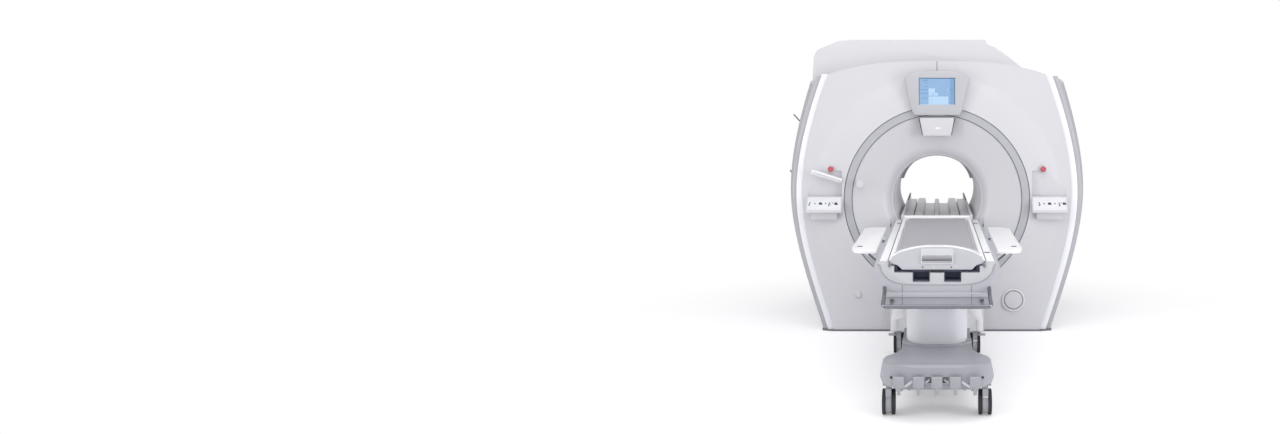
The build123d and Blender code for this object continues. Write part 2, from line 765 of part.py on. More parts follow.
def control_shelf(side, mass):
    # A tilted keypad plate over a smaller block.
    x = side * SHELF_X
    back, front = SHELF_BACK_Y, SHELF_FRONT_Y
    plate = prism_x([
        (back, SHELF_TOP_Z), (front + 82, SHELF_TOP_Z), (front, SHELF_LIP_Z + 4), (front, SHELF_LIP_Z - 8),
        (front + 8, SHELF_LIP_Z - 14), (back, SHELF_LIP_Z - 14),
    ], x - SHELF_HALF, x + SHELF_HALF)
    foot = prism_x([
        (back, SHELF_LIP_Z - 14), (front + 30, SHELF_LIP_Z - 14), (front + 42, SHELF_LOW_Z),
        (back, SHELF_LOW_Z),
    ], x - SHELF_HALF + 36, x + SHELF_HALF - 36)
    return seated(plate + foot, mass)


def surface_y(x, z):
    # The dome's face at a point, taken as the cone through its three profile points.
    r = sqrt(x ** 2 + (z - ISO_Z) ** 2)
    if r > DOME_R:
        return COVER_FACE_Y
    if r > DOME_MID_R:
        share = (DOME_R - r) / (DOME_R - DOME_MID_R)
        return COVER_FACE_Y + share * (DOME_MID_Y - COVER_FACE_Y)
    share = (DOME_MID_R - r) / (DOME_MID_R - RING_R)
    return DOME_MID_Y + share * (DOME_TOP_Y - DOME_MID_Y)


def stop_collar(side, mass):
    x, y = side * STOP_X, surface_y(STOP_X, STOP_Z)
    collar = rod((x, y - COLLAR_RISE, STOP_Z), (x, y + 14, STOP_Z), COLLAR_R)
    bore = rod((x, y - COLLAR_RISE - 1, STOP_Z), (x, y + 20, STOP_Z), STOP_STEM_R + RUN_GAP)
    return seated(collar, mass) - bore


def stop_button(side):
    x, y = side * STOP_X, surface_y(STOP_X, STOP_Z)
    under = y - COLLAR_RISE - STOP_TRAVEL - 2
    head = rod((x, under - 12, STOP_Z), (x, under, STOP_Z), STOP_R)
    head = chamfer(head.faces().sort_by(Axis.Y)[0].edges(), 4)
    stem = rod((x, under - 1, STOP_Z), (x, y - STOP_TRAVEL - 5, STOP_Z), STOP_STEM_R)
    return head + stem


def cable_rest_bar(mass):
    left, right = zip(REST_XS, REST_ZS)
    y = surface_y(*right) - 30
    bar = rod((left[0], y, left[1]), (right[0], y, right[1]), REST_BAR_R)
    for share in (0.18, 0.82):
        x = left[0] + share * (right[0] - left[0])
        z = left[1] + share * (right[1] - left[1])
        bar = bar + block(x - 8, x + 8, y, COVER_FACE_Y, z - 6, z + 6)
    return seated(bar, mass)


def cable_rest_knob():
    # A mushroom-headed hook on the funnel.
    stem = rod((HOOK_X, FUNNEL_RIM_Y - 48, HOOK_Z), (HOOK_X, FUNNEL_BEND_Y, HOOK_Z), 17)
    head = rod((HOOK_X, FUNNEL_RIM_Y - 58, HOOK_Z), (HOOK_X, FUNNEL_RIM_Y - 42, HOOK_Z), 30)
    return (stem + head) & (Pos(0, -SEAT_GAP, 0) * funnel_front_space())


def cover_cap(mass):
    # The small domed cap low on the left.
    y = surface_y(DOME_CAP_X, DOME_CAP_Z)
    cap = rod((DOME_CAP_X, y - 16, DOME_CAP_Z), (DOME_CAP_X, y + 12, DOME_CAP_Z), 32)
    cap = chamfer(cap.faces().sort_by(Axis.Y)[0].edges(), 11)
    return seated(cap, mass)


def round_port(mass):
    # It stands across the crease of the dome, so its bezel is deeper on the outer side.
    y = PORT_FACE_Y
    bezel = rod((PORT_X, y, PORT_Z), (PORT_X, COVER_FACE_Y + 20, PORT_Z), PORT_R)
    bezel = chamfer(bezel.faces().sort_by(Axis.Y)[0].edges(), 7)
    groove = rod((PORT_X, y - 1, PORT_Z), (PORT_X, y + 6, PORT_Z), CAP_R + 3)
    cap = rod((PORT_X, y - 8, PORT_Z), (PORT_X, y + 6 - SEAT_GAP, PORT_Z), CAP_R)
    cap = chamfer(cap.faces().sort_by(Axis.Y)[0].edges(), 9)
    return group([seated(bezel, mass) - groove, cap])


def dock_housing(mass):
    # The docking unit at the floor, with the socket that the table's tongue enters.
    back = COVER_FACE_Y - SEAT_GAP
    body = prism_x([(back, PAN_HEIGHT + 1), (DOCK_FACE_Y, PAN_HEIGHT + 1),
                    (DOCK_FACE_Y, DOCK_HEIGHT - 40), (DOCK_FACE_Y + 30, DOCK_HEIGHT),
                    (back, DOCK_HEIGHT)], -DOCK_HALF, DOCK_HALF)
    corners = body.edges().filter_by(Axis.Z).sort_by(Axis.Y)[:2]
    body = chamfer(corners, 24)
    body = seated(body - floor_cut(PAN_HEIGHT + SEAT_GAP), mass)
    gap = 8.0
    socket = block(-TONGUE_HALF - gap, TONGUE_HALF + gap, -FAR, SOCKET_END_Y,
                   TONGUE_LOW_Z - gap, TONGUE_HIGH_Z + gap)
    return body - socket


# Bridge and rear pedestal

def bore_bridge():
    # One long profile: floor, central rib, two slide blocks and a guide rail on each side.
    out = GUIDE_HALF + GUIDE_WALL
    low = BRIDGE_FLOOR_Z - BRIDGE_WALL
    corner_z = ISO_Z - sqrt((BORE_R - 2) ** 2 - out ** 2)
    points = [
        (0, low), (BLOCK_OUT_X + 40, low), (out, corner_z), (out, GUIDE_TOP_Z),
        (GUIDE_HALF, GUIDE_TOP_Z), (GUIDE_HALF, SLIDE_Z - 8), (BLOCK_OUT_X + 14, SLIDE_Z - 8),
        (BLOCK_OUT_X + 14, BRIDGE_FLOOR_Z + 10), (BLOCK_OUT_X, BRIDGE_FLOOR_Z + 10),
        (BLOCK_OUT_X, SLIDE_Z), (BLOCK_IN_X, SLIDE_Z), (BLOCK_IN_X - 10, BRIDGE_FLOOR_Z),
        (RIB_HALF, BRIDGE_FLOOR_Z), (RIB_HALF - 8, SLIDE_Z - 6), (0, SLIDE_Z - 6),
    ]
    half = prism_y(points, BRIDGE_START_Y, BRIDGE_END_Y)
    deck = half + mirrored(half)
    foot_r = BORE_R - SEAT_GAP
    foot = block(-80, 80, BORE_START_Y + 60, BORE_END_Y - 20, ISO_Z - BORE_R, low + 1)
    return deck + (foot & disc_y(foot_r, -FAR, FAR))


def rear_pedestal():
    top = BRIDGE_FLOOR_Z - BRIDGE_WALL - SEAT_GAP
    rear = BRIDGE_END_Y - 20
    body = prism_x([(PEDESTAL_Y, 0), (rear, 0), (rear, top), (PEDESTAL_Y - 120, top),
                    (PEDESTAL_Y - 120, top - 90), (PEDESTAL_Y, top - 240)],
                   -PEDESTAL_HALF, PEDESTAL_HALF)
    body = chamfer(body.edges().filter_by(Axis.Z), 20)
    wall = PEDESTAL_WALL
    hollow = block(wall - PEDESTAL_HALF, PEDESTAL_HALF - wall, PEDESTAL_Y + wall, rear - wall,
                   -1, top - wall)
    return body - hollow


# Table top

def shell_profile(inset):
    # The right half from the lip at the floor of the trough to its widest height.
    return [
        (SHELL_LIP_X - 30 - inset, SHELL_LIP_Z - 6 + inset), (SHELL_LIP_X - inset, SHELL_LIP_Z + inset),
        (SHELL_LIP_X + 5 - inset, SHELL_LIP_Z + 28), (SHELL_KNEE_X - inset, SHELL_KNEE_Z),
        (SHELL_HALF - 31 - inset, SHELL_WIDE_Z - 80), (SHELL_HALF - 2 - inset, SHELL_WIDE_Z - 48),
        (SHELL_HALF - inset, SHELL_WIDE_Z),
    ]


def lower_shell():
    # A long trough, notched for the bumper and tapered up to the gantry end.
    near, far = TABLE_NEAR_Y + SHELL_SETBACK, TABLE_FAR_Y - 6
    rim_z = RAIL_TOP_Z - 15
    shelf_z = SHELL_WIDE_Z - 20 - SEAT_GAP
    right = shell_profile(0.0) + [(SHELL_HALF - 4, rim_z)]
    outer_points = [(-x, z) for x, z in reversed(right)] + right
    inner_right = shell_profile(SHELL_WALL) + [(SHELL_HALF - SHELL_WALL, rim_z + 1)]
    inner_points = [(-x, z) for x, z in reversed(inner_right)] + inner_right
    trough = prism_y(outer_points, near, far)
    trough = trough - prism_y(inner_points, near + SHELL_WALL, far - SHELL_WALL)
    shelf_start = TABLE_NEAR_Y + BUMPER_DEPTH + 1
    for side in (-1, 1):
        low, high = sorted((side * (BUMPER_GAP_X - 2), side * (SHELL_HALF - 8)))
        trough = trough + block(low, high, shelf_start, far - 1, shelf_z - SHELL_WALL, shelf_z)
        low, high = sorted((side * (RAIL_OUT + 1), side * (SHELL_HALF - 6)))
        trough = trough + block(low, high, near, far - 1, rim_z - SHELL_WALL, rim_z)
    slope_low, slope_high = SHELL_LIP_Z - 8, SHELL_TIP_Z
    slope = prism_x([(SHELL_TAPER_Y, 0), (SHELL_TAPER_Y, slope_low), (SHELL_RISE_Y, slope_high),
                     (FAR, slope_high), (FAR, 0)], -FAR, FAR)
    floor = prism_x([
        (SHELL_TAPER_Y, slope_low), (SHELL_RISE_Y, slope_high), (far, slope_high),
        (far, slope_high + SHELL_WALL), (SHELL_RISE_Y, slope_high + SHELL_WALL),
        (SHELL_TAPER_Y, slope_low + SHELL_WALL + 4),
    ], -SHELL_HALF, SHELL_HALF)
    floor = floor & prism_y(outer_points, near, far)
    end_gap = block(-RAIL_OUT - 1, RAIL_OUT + 1, far - SHELL_WALL - 1, far + 1, shelf_z, FAR)
    flank = [(RAIL_OUT + 1, FAR)] + bumper_flank(1.0)
    notch_points = flank + [(-x, z) for x, z in reversed(flank)]
    notch = prism_y(notch_points, near - 1, near + SHELL_WALL + 1)
    trough = trough - slope + floor - end_gap - notch
    # The lip stands out across the foot end, and the skirt hangs round the column's head.
    lip = block(-SHELL_LIP_X, SHELL_LIP_X, near - LIP_RISE, near + 1,
                SHELL_LIP_Z, SHELL_LIP_Z + LIP_HEIGHT)
    lip = chamfer(lip.faces().sort_by(Axis.Y)[0].edges(), 4)
    skirt = block(-SKIRT_HALF, SKIRT_HALF, near, SKIRT_FAR_Y, SKIRT_LOW_Z, SHELL_LIP_Z - 5)
    well = block(-SKIRT_HALF + SHELL_WALL, SKIRT_HALF - SHELL_WALL, near + SHELL_WALL,
                 SKIRT_FAR_Y - SHELL_WALL, SKIRT_LOW_Z - 1, SHELL_LIP_Z - 12)
    return trough + lip + (skirt - well)


def side_rail():
    # White top rail with the inner ledge that the cradle slides on.
    return prism_y([
        (RAIL_IN, RAIL_TOP_Z), (RAIL_OUT - 6, RAIL_TOP_Z), (RAIL_OUT, RAIL_TOP_Z - 6),
        (RAIL_OUT, SHELL_WIDE_Z - 20), (LEDGE_IN, SHELL_WIDE_Z - 20), (LEDGE_IN, SLIDE_Z),
        (RAIL_IN, SLIDE_Z),
    ], TABLE_NEAR_Y + BUMPER_DEPTH + SEAT_GAP, TABLE_FAR_Y)


def bumper_flank(grow):
    # The bumper's right edge, from the rail's shoulder down to the low edge.
    edge = RAIL_OUT + grow
    return [
        (edge, RAIL_TOP_Z - 6), (edge - 14, RAIL_TOP_Z - 21), (edge - 20, RAIL_TOP_Z - 53),
        (edge - 47, BUMPER_LOW_Z + 39 - grow), (edge - 88, BUMPER_LOW_Z + 15 - grow),
        (edge - 137, BUMPER_LOW_Z + 4 - grow), (edge - 212, BUMPER_LOW_Z - grow),
    ]


def bumper_outline():
    return [
        (BUMPER_GAP_X, BUMPER_TOP_Z), (BUMPER_GAP_X, SLIDE_Z - 4), (RAIL_IN, SLIDE_Z - 4),
        (RAIL_IN, RAIL_TOP_Z), (RAIL_OUT - 6, RAIL_TOP_Z),
    ] + bumper_flank(0.0)


def end_bumper():
    right = bumper_outline()
    points = right + [(-x, z) for x, z in reversed(right)]
    body = prism_y(points, TABLE_NEAR_Y, TABLE_NEAR_Y + BUMPER_DEPTH)
    sockets = []
    for side in (-1, 1):
        low, high = sorted((side * SOCKET_IN, side * SOCKET_OUT))
        sockets.append(block(low, high, TABLE_NEAR_Y - 1, TABLE_NEAR_Y + BUMPER_DEPTH + 1,
                             SOCKET_LOW_Z, BUMPER_TOP_Z + 1))
    return body - sockets[0] - sockets[1]


def bumper_liner():
    # The dark moulding seen through the sockets and under the foot panel.
    near = TABLE_NEAR_Y + BUMPER_DEPTH + SEAT_GAP
    half = LEDGE_IN - SEAT_GAP
    body = block(-half, half, near, near + 90, SOCKET_LOW_Z - 8, BUMPER_TOP_Z + 6)
    for side in (-1, 1):
        low, high = sorted((side * (SOCKET_IN + 6), side * (SOCKET_OUT - 6)))
        body = body - block(low, high, near - 1, near + 70, SOCKET_LOW_Z + 5, BUMPER_TOP_Z - 4)
    legs = block(-BUMPER_GAP_X + 40, BUMPER_GAP_X - 40, near + 20, near + 80,
                 SHELL_LIP_Z + SEAT_GAP, SOCKET_LOW_Z)
    return body + legs


def push_bar():
    # A bar across the foot end, bent back and up into the shell at both ends.
    near = TABLE_NEAR_Y + SHELL_SETBACK - SEAT_GAP
    half = [
        (BAR_HALF - BAR_BEND, BAR_Y, BAR_Z), (BAR_HALF, BAR_Y + BAR_BEND, BAR_Z + 6),
        (BAR_HALF - 9, BAR_Y + 100, BAR_END_Z - 14), (BAR_HALF - 2, near, BAR_END_Z),
    ]
    path = Polyline(*[(-x, y, z) for x, y, z in reversed(half)], *half)
    start = Plane(origin=path @ 0, z_dir=path % 0)
    bar = sweep(start * Circle(BAR_R), path=path, transition=Transition.RIGHT)
    for side in (-1, 1):
        x = side * BRACKET_X
        bar = bar + rod((x, BAR_Y, BAR_Z), (x, near, BAR_Z), BRACKET_R)
    return bar - block(-FAR, FAR, near, FAR, 0, FAR)


# Cradle

def cradle():
    near, far = TABLE_NEAR_Y + PANEL_THICK + SEAT_GAP, TABLE_FAR_Y
    low = SLIDE_Z + SEAT_GAP
    tray = prism_y([(-CRADLE_HALF + 8, low), (CRADLE_HALF - 8, low), (CRADLE_HALF, low + 8),
                    (CRADLE_HALF, CRADLE_RIM_Z - 5), (CRADLE_HALF - 6, CRADLE_RIM_Z),
                    (-CRADLE_HALF + 6, CRADLE_RIM_Z), (-CRADLE_HALF, CRADLE_RIM_Z - 5),
                    (-CRADLE_HALF, low + 8)], near, far)
    lip = prism_x([(far - 46, low + 8), (far - 46, CRADLE_RIM_Z), (far - 34, CRADLE_RIM_Z + CRADLE_END_RISE),
                   (far - 8, CRADLE_RIM_Z + CRADLE_END_RISE), (far, CRADLE_RIM_Z), (far, low + 8)],
                  -CRADLE_HALF + 4, CRADLE_HALF - 4)
    hollow = block(-PAD_HALF - 4, PAD_HALF + 4, near + 30, far - 50, CRADLE_FLOOR_Z, FAR)
    hand = block(-GRIP_HALF - 9, GRIP_HALF + 9, near - 1, near + 31, CRADLE_FLOOR_Z, FAR)
    return tray + lip - hollow - hand


def cradle_pad():
    near, far = TABLE_NEAR_Y + PANEL_THICK + 60, TABLE_FAR_Y - 54
    pad = block(-PAD_HALF, PAD_HALF, near, far, CRADLE_FLOOR_Z + SEAT_GAP, PAD_TOP_Z)
    return chamfer(pad.faces().sort_by(Axis.Z)[-1].edges(), 5)


def foot_panel():
    # The cradle's end handle: arched on top, cut back at the lower corners.
    y0, y1 = TABLE_NEAR_Y, TABLE_NEAR_Y + PANEL_THICK
    arc_x = PANEL_ARC_HALF
    top = ThreePointArc((arc_x, y0, PANEL_SIDE_Z), (0, y0, PANEL_TOP_Z), (-arc_x, y0, PANEL_SIDE_Z))
    right = [
        (arc_x, PANEL_SIDE_Z), (PANEL_HALF - 12, PANEL_SIDE_Z - 21), (PANEL_HALF, PANEL_SIDE_Z - 55),
        (PANEL_HALF, SLIDE_Z + 13), (PANEL_HALF - 38, SLIDE_Z + SEAT_GAP), (PANEL_HALF - 64, PANEL_LOW_Z),
    ]
    left = [(-x, z) for x, z in right]
    rest = Polyline(*[(x, y0, z) for x, z in left + right[::-1]])
    body = extrude_y(make_face(top + rest), y1 - y0)
    slot_mid = (GRIP_LOW_Z + GRIP_HIGH_Z) / 2
    plane = Plane(origin=(0, y0 - 1, slot_mid), x_dir=(1, 0, 0), z_dir=(0, 1, 0))
    slot = plane * RectangleRounded(2 * GRIP_HALF, GRIP_HIGH_Z - GRIP_LOW_Z, 9)
    body = body - extrude(slot, amount=PANEL_THICK + 2)
    front = body.faces().sort_by(Axis.Y)[0].outer_wire().edges()
    return chamfer(front, 3)


# Arm boards

def arm_board():
    # The right-hand board on its two hangers, which turn on pins low on the shell's side.
    low = ARM_TOP_Z - ARM_THICK
    board = prism_z([
        (ARM_IN, ARM_NEAR_Y), (ARM_OUT - 70, ARM_NEAR_Y), (ARM_OUT - 20, ARM_NEAR_Y + 30),
        (ARM_OUT, ARM_NEAR_Y + 120), (ARM_OUT, ARM_FAR_Y - 60), (ARM_OUT - 40, ARM_FAR_Y),
        (ARM_IN + 10, ARM_FAR_Y), (ARM_IN, ARM_FAR_Y - 10),
    ], low, ARM_TOP_Z)
    board = chamfer(board.faces().sort_by(Axis.Z)[-1].edges(), 3)
    for y in hanger_ys():
        arm = prism_y([
            (ARM_PIVOT_X - 10, ARM_PIVOT_Z), (ARM_PIVOT_X + 2, ARM_PIVOT_Z - 10),
            (ARM_PIVOT_X + 14, ARM_PIVOT_Z - 4), (ARM_PIVOT_X + 96, low + 1),
            (ARM_PIVOT_X + 36, low + 1), (ARM_PIVOT_X + 4, ARM_PIVOT_Z + 16),
        ], y - HANGER_WIDTH / 2, y + HANGER_WIDTH / 2)
        hole = rod((ARM_PIVOT_X, y - 40, ARM_PIVOT_Z), (ARM_PIVOT_X, y + 40, ARM_PIVOT_Z),
                   ARM_PIN_R + RUN_GAP)
        board = board + (arm - hole)
    return board


def hanger_ys():
    return ARM_NEAR_Y + 90, ARM_FAR_Y - 160


def arm_lugs():
    # Clevis lugs with their pins, fixed to the shell's right side.
    lugs = []
    root = SHELL_HALF - 21
    for y in hanger_ys():
        inner = HANGER_WIDTH / 2 + SEAT_GAP
        for start in (y - inner - LUG_WIDTH, y + inner):
            lug = prism_y([
                (root, ARM_PIVOT_Z + 14), (ARM_PIVOT_X - 4, ARM_PIVOT_Z + 10),
                (ARM_PIVOT_X + 10, ARM_PIVOT_Z + 2), (ARM_PIVOT_X + 10, ARM_PIVOT_Z - 8),
                (ARM_PIVOT_X, ARM_PIVOT_Z - 14), (root, ARM_PIVOT_Z - 22),
            ], start, start + LUG_WIDTH)
            lugs.append(lug)
        reach = inner + LUG_WIDTH
        lugs.append(rod((ARM_PIVOT_X, y - reach, ARM_PIVOT_Z), (ARM_PIVOT_X, y + reach, ARM_PIVOT_Z),
                        ARM_PIN_R))
    return fuse(lugs)


# Column and lift

def column_tube(half, y0, y1, radius, z0, z1):
    plane = Plane(origin=(0, (y0 + y1) / 2, z0))
    return extrude(plane * RectangleRounded(2 * half, y1 - y0, radius), amount=z1 - z0)


def column_top():
    # The shroud's top, under the skirt's ceiling.
    return SHELL_LIP_Z - 12 - SEAT_GAP


def lowest_reach():
    # How low the shroud may start, so that it still clears the pan when the table is down.
    return LIFT_PAN_Z + PAN_WALL + LIFT_TRAVEL + LIFT_CLEAR


def column_shroud():
    # A tall cap, well rounded at its corners; it sinks into the pan with the table.
    low, top, wall = lowest_reach(), column_top(), COLUMN_WALL
    outer = column_tube(COLUMN_HALF, COLUMN_FRONT_Y, COLUMN_BACK_Y, COLUMN_ROUND, low, top)
    inner = column_tube(COLUMN_HALF - wall, COLUMN_FRONT_Y + wall, COLUMN_BACK_Y - wall,
                        COLUMN_ROUND - wall, low - 1, top - wall)
    return outer - inner


def lift_cylinder():
    # Fixed in the pan: foot plate, cylinder and two guide sleeves.
    base_z = LIFT_PAN_Z + PAN_WALL + SEAT_GAP
    top_z = column_top() - COLUMN_WALL - HEAD_PLATE - LIFT_TRAVEL - LIFT_CLEAR
    fixed = block(-LIFT_PLATE_HALF, LIFT_PLATE_HALF, LIFT_Y - LIFT_PLATE_REACH, LIFT_Y + LIFT_PLATE_REACH,
                  base_z, base_z + LIFT_PLATE)
    fixed = fixed + rod((0, LIFT_Y, base_z + 1), (0, LIFT_Y, top_z), CYLINDER_R)
    half, sleeve = POST_HALF + SEAT_GAP, POST_HALF + 12
    for y in (LIFT_Y - POST_Y, LIFT_Y + POST_Y):
        fixed = fixed + block(-sleeve, sleeve, y - sleeve, y + sleeve, base_z + 1, top_z)
        fixed = fixed - block(-half, half, y - half, y + half, base_z + LIFT_PLATE, top_z + 1)
    return fixed - rod((0, LIFT_Y, base_z + LIFT_PLATE), (0, LIFT_Y, top_z + 1), RAM_R + RUN_GAP)


def lift_ram():
    # Moving: head plate under the shroud's top, ram and two guide posts.
    top = column_top() - COLUMN_WALL - SEAT_GAP
    low = lowest_reach() + LIFT_PLATE
    moving = block(-LIFT_PLATE_HALF, LIFT_PLATE_HALF, LIFT_Y - LIFT_PLATE_REACH, LIFT_Y + LIFT_PLATE_REACH,
                   top - HEAD_PLATE, top)
    moving = moving + rod((0, LIFT_Y, low), (0, LIFT_Y, top - 8), RAM_R)
    for y in (LIFT_Y - POST_Y, LIFT_Y + POST_Y):
        moving = moving + block(-POST_HALF, POST_HALF, y - POST_HALF, y + POST_HALF, low, top - 8)
    return moving


# Base

def base_frame():
    # Two beams, a cross member with caster plates at each end, the lift's pan and the dock tongue.
    near, far = PEDAL_PIVOT_Y - 14, REAR_CASTER_Y + 70
    half = BEAM_WIDTH / 2
    stem_ys = (FRONT_CASTER_Y - TRAIL, REAR_CASTER_Y - TRAIL)
    parts = []
    for side in (-1, 1):
        x = side * BEAM_X
        parts.append(block(x - half, x + half, near, far, BEAM_LOW_Z, BEAM_HIGH_Z))
    for y in stem_ys:
        parts.append(block(-BEAM_X, BEAM_X, y - 30, y + 30, BEAM_LOW_Z + 6, BEAM_HIGH_Z - 4))
        for side in (-1, 1):
            low, high = sorted((side * BEAM_X, side * (CASTER_X + PLATE_REACH)))
            parts.append(block(low, high, y - PLATE_HALF, y + PLATE_HALF,
                               CASTER_PLATE_Z, CASTER_PLATE_Z + PLATE_THICK))
    pan_half = BEAM_X - half + 1
    front, back = COLUMN_FRONT_Y - COLUMN_GAP - PAN_WALL, COLUMN_BACK_Y + COLUMN_GAP + PAN_WALL
    pan = block(-pan_half, pan_half, front, back, LIFT_PAN_Z, BEAM_LOW_Z + 10)
    inner = COLUMN_HALF + COLUMN_GAP
    pan = pan - block(-inner, inner, front + PAN_WALL, back - PAN_WALL, LIFT_PAN_Z + PAN_WALL, FAR)
    guide = block(-60, 60, far - 60, far + 30, TONGUE_LOW_Z, BEAM_LOW_Z + 20)
    tongue = block(-TONGUE_HALF, TONGUE_HALF, far - 20, SOCKET_END_Y - SEAT_GAP, TONGUE_LOW_Z, TONGUE_HIGH_Z)
    tongue = chamfer(tongue.faces().sort_by(Axis.Y)[-1].edges(), 12)
    rear_member = block(-BEAM_X, BEAM_X, far - 60, far - 1, BEAM_LOW_Z, BEAM_HIGH_Z - 4)
    frame = fuse(parts + [pan, rear_member, guide, tongue])
    for y in stem_ys:
        for x in (-CASTER_X, CASTER_X):
            frame = frame - rod((x, y, CASTER_PLATE_Z - 1), (x, y, BEAM_HIGH_Z), STEM_R + RUN_GAP)
    for x in (-LUG_X, LUG_X):
        frame = frame + block(x - 10, x + 10, near, PEDAL_PIVOT_Y + 20, BEAM_LOW_Z + 6, PEDAL_PIVOT_Z + 12)
    reach = PEDAL_XS[-1] + 24
    return frame + rod((-reach, PEDAL_PIVOT_Y, PEDAL_PIVOT_Z), (reach, PEDAL_PIVOT_Y, PEDAL_PIVOT_Z),
                       PEDAL_PIN_R)


def hood_outline(inset):
    # The front view's right half, from the low edge over the wing to the flat top.
    wing, top = WING_HALF - inset, HOOD_TOP_Z - inset
    return [
        (wing - 60, HOOD_LOW_Z), (wing - 15, HOOD_LOW_Z + 16), (wing, HOOD_LOW_Z + 44),
        (wing - 6.5, HOOD_LOW_Z + 84), (wing - 14, top - 20), (wing - 32, top - 8), (WING_HALF - 123, top),
    ]


def base_cover():
    # A flat hood over the front casters, with two tails beside the column and a rim round it.
    front, rear, tail = COVER_FRONT_Y, COVER_REAR_Y, HOOD_TAIL_HALF
    right = hood_outline(0.0)
    outline = right + [(-x, z) for x, z in reversed(right)]
    side_view = [
        (front + 13, HOOD_LOW_Z - 6), (front + 3, HOOD_LOW_Z + 16), (front, HOOD_TOP_Z - 24),
        (front + 13, HOOD_TOP_Z - 10), (front + 68, HOOD_TOP_Z), (rear, HOOD_TOP_Z), (rear, HOOD_LOW_Z - 6),
    ]
    half_plan = [
        (140, front), (WING_HALF - 68, front + 18), (WING_HALF - 23, front + 43), (WING_HALF, front + 78),
        (WING_HALF, front + 158), (WING_HALF - 18, front + 183), (tail + 26, front + 253),
        (tail, front + 318), (tail, rear),
    ]
    plan_points = half_plan + [(-x, y) for x, y in reversed(half_plan)]
    plan = prism_z(plan_points, 0, HOOD_RIM_Z)
    body = prism_y(outline, front - 5, rear) & prism_x(side_view, -FAR, FAR) & plan
    inner = [(WING_HALF - 66 - HOOD_WALL, HOOD_LOW_Z - 16)] + hood_outline(HOOD_WALL)
    hollow = prism_y(inner + [(-x, z) for x, z in reversed(inner)], front + HOOD_FRONT_WALL, rear + 1)
    # The front wall keeps its thickness round the wings' corners.
    back = front + HOOD_FRONT_WALL
    half_room = [
        (140, back), (WING_HALF - 74, back + 18), (WING_HALF - 37, back + 38), (WING_HALF - 16, back + 70),
        (WING_HALF, back + 90), (WING_HALF, COLUMN_FRONT_Y - 60),
    ]
    hollow = hollow & prism_z(half_room + [(-x, y) for x, y in reversed(half_room)], 0, HOOD_RIM_Z)
    body = body - hollow
    rim_gap = WELL_GAP + HOOD_RIM_WIDTH
    rim = column_tube(COLUMN_HALF + rim_gap, COLUMN_FRONT_Y - rim_gap, COLUMN_BACK_Y + rim_gap,
                      COLUMN_ROUND + rim_gap, HOOD_TOP_Z - 8, HOOD_RIM_Z)
    well = column_tube(COLUMN_HALF + WELL_GAP, COLUMN_FRONT_Y - WELL_GAP, COLUMN_BACK_Y + WELL_GAP,
                       COLUMN_ROUND + WELL_GAP, 0, FAR)
    body = body + (rim & plan & block(-FAR, FAR, -FAR, rear, 0, FAR)) - well
    # A rib stands on the beams, and the levers reach out through notches.
    rib_half = BEAM_X + BEAM_WIDTH / 2 - 1
    rib_top = HOOD_TOP_Z - HOOD_WALL + 1
    body = body + block(-rib_half, rib_half, RIB_Y, RIB_Y + 6, BEAM_HIGH_Z + SEAT_GAP, rib_top)
    for x in PEDAL_XS:
        half = 66 if x == 0 else 13
        body = body - block(x - half, x + half, front - 5, front + 60, 100, PEDAL_NOTCH_Z)
    # The tails clear the beams and the pan.
    return body - block(-rib_half - 2, rib_half + 2, front + 60, FAR, 0, BEAM_HIGH_Z + SEAT_GAP)


def rear_leg_cover():
    # The right-hand white housing over a rear caster, with its flat inset face.
    y0, y1 = REAR_CASTER_Y - 130, REAR_CASTER_Y + 90
    top, slant = LEG_TOP_Z, LEG_OUT - 24
    body = prism_y([
        (LEG_IN, LEG_LOW_Z), (LEG_OUT, LEG_LOW_Z), (LEG_OUT - 2, LEG_SLANT_Z), (slant, top), (LEG_IN, top),
    ], y0, y1)
    body = body & prism_x([(y0, 0), (y0, top - 60), (y0 + 40, top), (y1, top), (y1, 0)], 0, FAR)
    ceiling = BEAM_HIGH_Z + SEAT_GAP
    hollow = block(LEG_IN - 1, LEG_OUT - COVER_WALL, y0 + 14, y1 - COVER_WALL, 0, ceiling)
    beam_path = block(0, BEAM_X + BEAM_WIDTH / 2 + SEAT_GAP, -FAR, FAR, 0, ceiling)
    inset = prism_y([(LEG_IN + 12, LEG_LOW_Z - 1), (LEG_OUT - 44, LEG_LOW_Z - 1),
                     (LEG_OUT - 44, LEG_SLANT_Z), (LEG_IN + 12, LEG_SLANT_Z + 17)], y0 - 1, y0 + 5)
    return body - hollow - beam_path - inset


# Casters

def caster(x, y):
    # Swivel axis at (x, y - TRAIL); the twin wheels trail behind it towards the gantry.
    stem_y = y - TRAIL
    hub_half = TYRE_SPACING / 2 - TYRE_WIDTH / 2 - 1.0
    fork = rod((x - hub_half, y, WHEEL_R), (x + hub_half, y, WHEEL_R), WHEEL_R - FAIRING_GAP)
    fork = fork + prism_x([
        (y + 30, WHEEL_R + 40), (y + 4, FORK_TOP_Z), (stem_y - 24, FORK_TOP_Z),
        (stem_y - 26, FORK_TOP_Z - 28), (y - 50, WHEEL_R + 30),
    ], x - hub_half, x + hub_half)
    fork = fork + block(x - hub_half + 1, x + hub_half - 1, stem_y - 15, stem_y + 15,
                        FORK_TOP_Z - 8, CASTER_PLATE_Z - SEAT_GAP)
    fork = fork + rod((x, stem_y, FORK_TOP_Z), (x, stem_y, BEAM_HIGH_Z - 8), STEM_R)
    fork = fork - rod((x - 40, y, WHEEL_R), (x + 40, y, WHEEL_R), AXLE_R + RUN_GAP)
    outer = TYRE_SPACING / 2 + TYRE_WIDTH / 2
    wheels = rod((x - outer + 4, y, WHEEL_R), (x + outer - 4, y, WHEEL_R), AXLE_R)
    for side in (-1, 1):
        middle = x + side * TYRE_SPACING / 2
        wheels = wheels + rod((middle - TYRE_WIDTH / 2, y, WHEEL_R),
                              (middle + TYRE_WIDTH / 2, y, WHEEL_R), WHEEL_R)
    return fork, wheels


# Pedals

